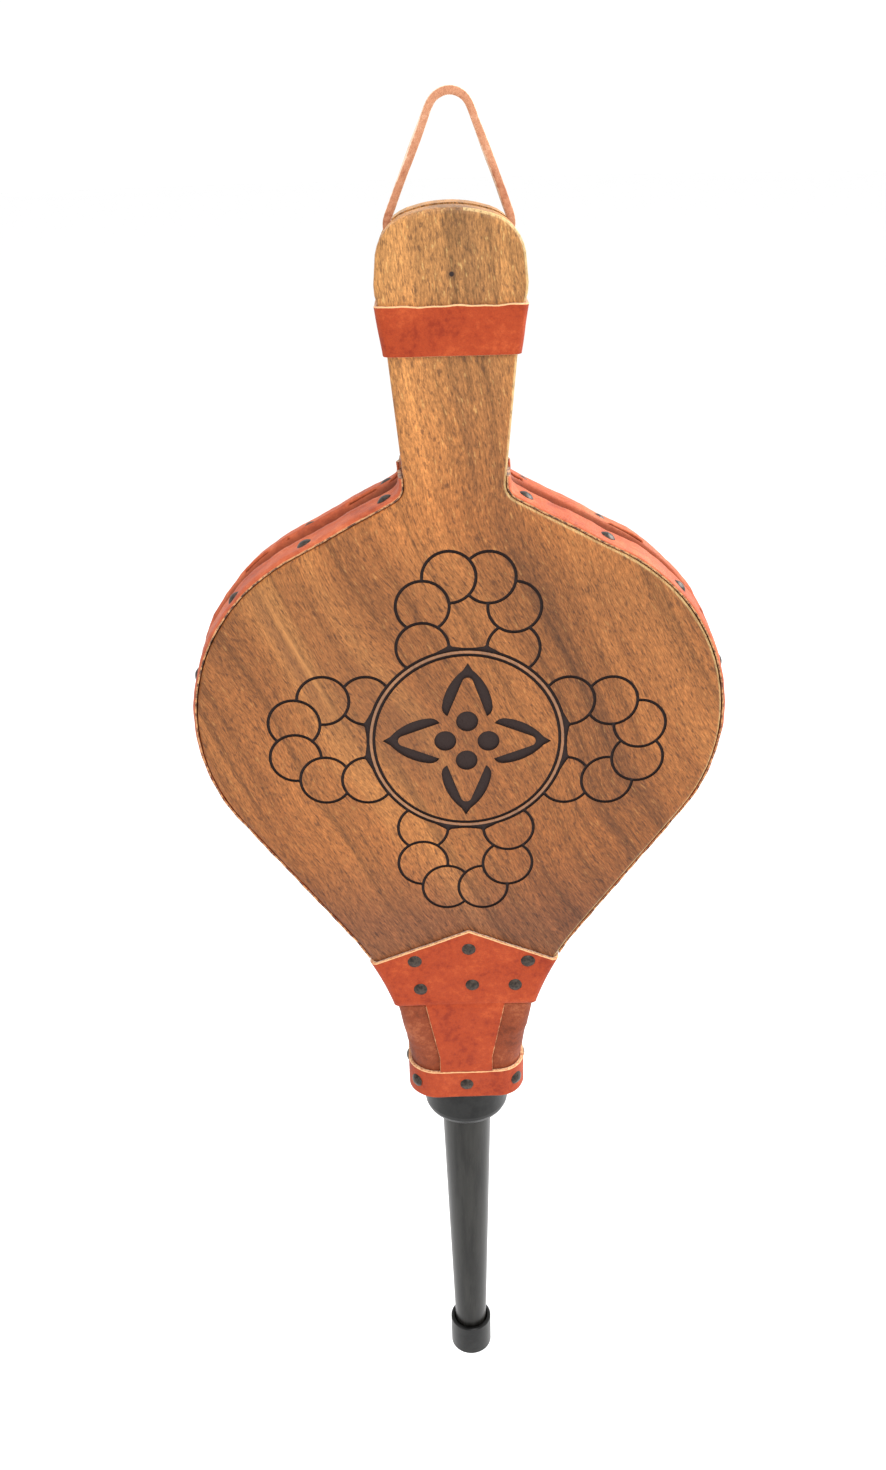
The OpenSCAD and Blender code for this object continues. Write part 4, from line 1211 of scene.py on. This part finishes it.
# %% [markdown]
# The iron was blackened and waxed. The cup and the ferrule are nearly black, and the long tube is a
# shade lighter, with faint lengthwise rubbing. The tacks are blued steel, with brighter tops
# where the hammer struck. Metal shows its shape by what it reflects, so each of these
# changes its roughness from place to place more than its colour.

# %% Iron, steel and brass
def iron(name, dark, light, rough, metal, scale=160.0, stretch=1.0, shine=0.3):
    r = Recipe(name)
    dark, light = linear(*dark), linear(*light)
    stretched = r.add("Mapping", sockets={"Vector": r.place(), "Scale": (1.0, 1.0, stretch)})
    patch = r.noise(stretched, scale, 5.0, 0.65)
    fine = r.noise(stretched, scale * 9, 3.0, 0.6)
    colour = r.ramp(patch, (0.34, dark), (0.66, light))
    bright = tuple(min(1.0, c * 2.2) for c in light[:3]) + (1.0,)
    colour = r.mix(r.ramp(fine, (0.60, 0.0), (0.74, 1.0)) * 0.25, colour, bright)
    normal = r.bump(patch + fine * 0.4, 0.25, 0.00020)
    return r.finish(Base_Color=colour, Roughness=patch * 0.30 + (rough - 0.15), Normal=normal,
                    Metallic=metal, Specular_IOR_Level=shine)


cup_iron = iron("iron_black", (12, 12, 12), (30, 30, 29), 0.36, 0.2, shine=0.27)
tube_iron = iron("iron_tube", (24, 23, 21), (44, 43, 40), 0.34, 0.3, 220.0, 0.12)
tack_iron = iron("steel_tack", (34, 29, 26), (72, 62, 54), 0.40, 0.4, 700.0)
screw_brass = iron("brass_screw", (176, 134, 70), (214, 176, 104), 0.34, 1.0, 500.0, shine=0.5)
for node_name, finish in (("nozzle_cup", cup_iron), ("nozzle_ferrule", cup_iron),
                          ("nozzle_tube", tube_iron), ("valve_tacks", tack_iron),
                          ("thong_tacks", tack_iron), ("block_screws", screw_brass)):
    add_materials(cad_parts[node_name], finish)
print("metal ready")

# %% Drive the tacks
tack_sets = [
    ("tacks_front_edge", front_edge_spots, "front_edge_tacks", "front_body", 11, 0.05),
    ("tacks_back_edge", back_edge_spots, "back_edge_tacks", "back_body", 23, 0.45),
    ("tacks_apron", apron_spots, "apron_tacks", "front_body", 5, 0.12),
    ("tacks_band", band_spots, "band_tacks", "back_body", 41, 0.10),
]
for name, spots, node_name, body, seed, sink in tack_sets:
    made = drive_tacks(name, spots, node_name, body, seed, tack_iron, sink)
    print(name, len(spots), "tacks,", len(made.data.polygons), "faces")
bpy.data.objects.remove(tack_head)

# %% [markdown]
# The bellows hangs over a plain pale floor in a bright white room. A large soft light stands in front, a
# second one behind and to the right draws pale lines down the right-hand edges, and
# the white surroundings fill the shadows, so that the darkest leather still shows its colour.

# %% Floor and light
FLOOR_Z, FLOOR_R = -0.62, 12.0
bpy.ops.mesh.primitive_circle_add(vertices=96, radius=FLOOR_R, fill_type="NGON",
                                  location=(0, 0, FLOOR_Z))
floor = bpy.context.object
floor.name = "floor"
floor_paint = Recipe("floor_paint")
add_materials(floor, floor_paint.finish(Base_Color=(0.95, 0.95, 0.95, 1), Roughness=0.9))


def soft_light(name, place, target, size, power):
    data = bpy.data.lights.new(name, "AREA")
    data.shape, data.size, data.energy = "DISK", size, power
    lamp = bpy.data.objects.new(name, data)
    scene.collection.objects.link(lamp)
    away = Vector(target) - Vector(place)
    lamp.matrix_world = Matrix.Translation(place) @ away.to_track_quat("-Z", "Y").to_matrix().to_4x4()


middle = (0, 0, -0.24)
soft_light("front_light", (0.5, -1.5, 1.1), middle, 0.8, 14)
soft_light("rim_light", (0.9, 0.5, 0.4), middle, 0.6, 14)
soft_light("top_light", (0.1, -0.2, 1.5), middle, 0.9, 10)
world = bpy.data.worlds.new("white_room")
world.use_nodes = True
world.node_tree.nodes["Background"].inputs[0].default_value = (1.0, 1.0, 1.0, 1)
world.node_tree.nodes["Background"].inputs[1].default_value = 1.05
scene.world = world
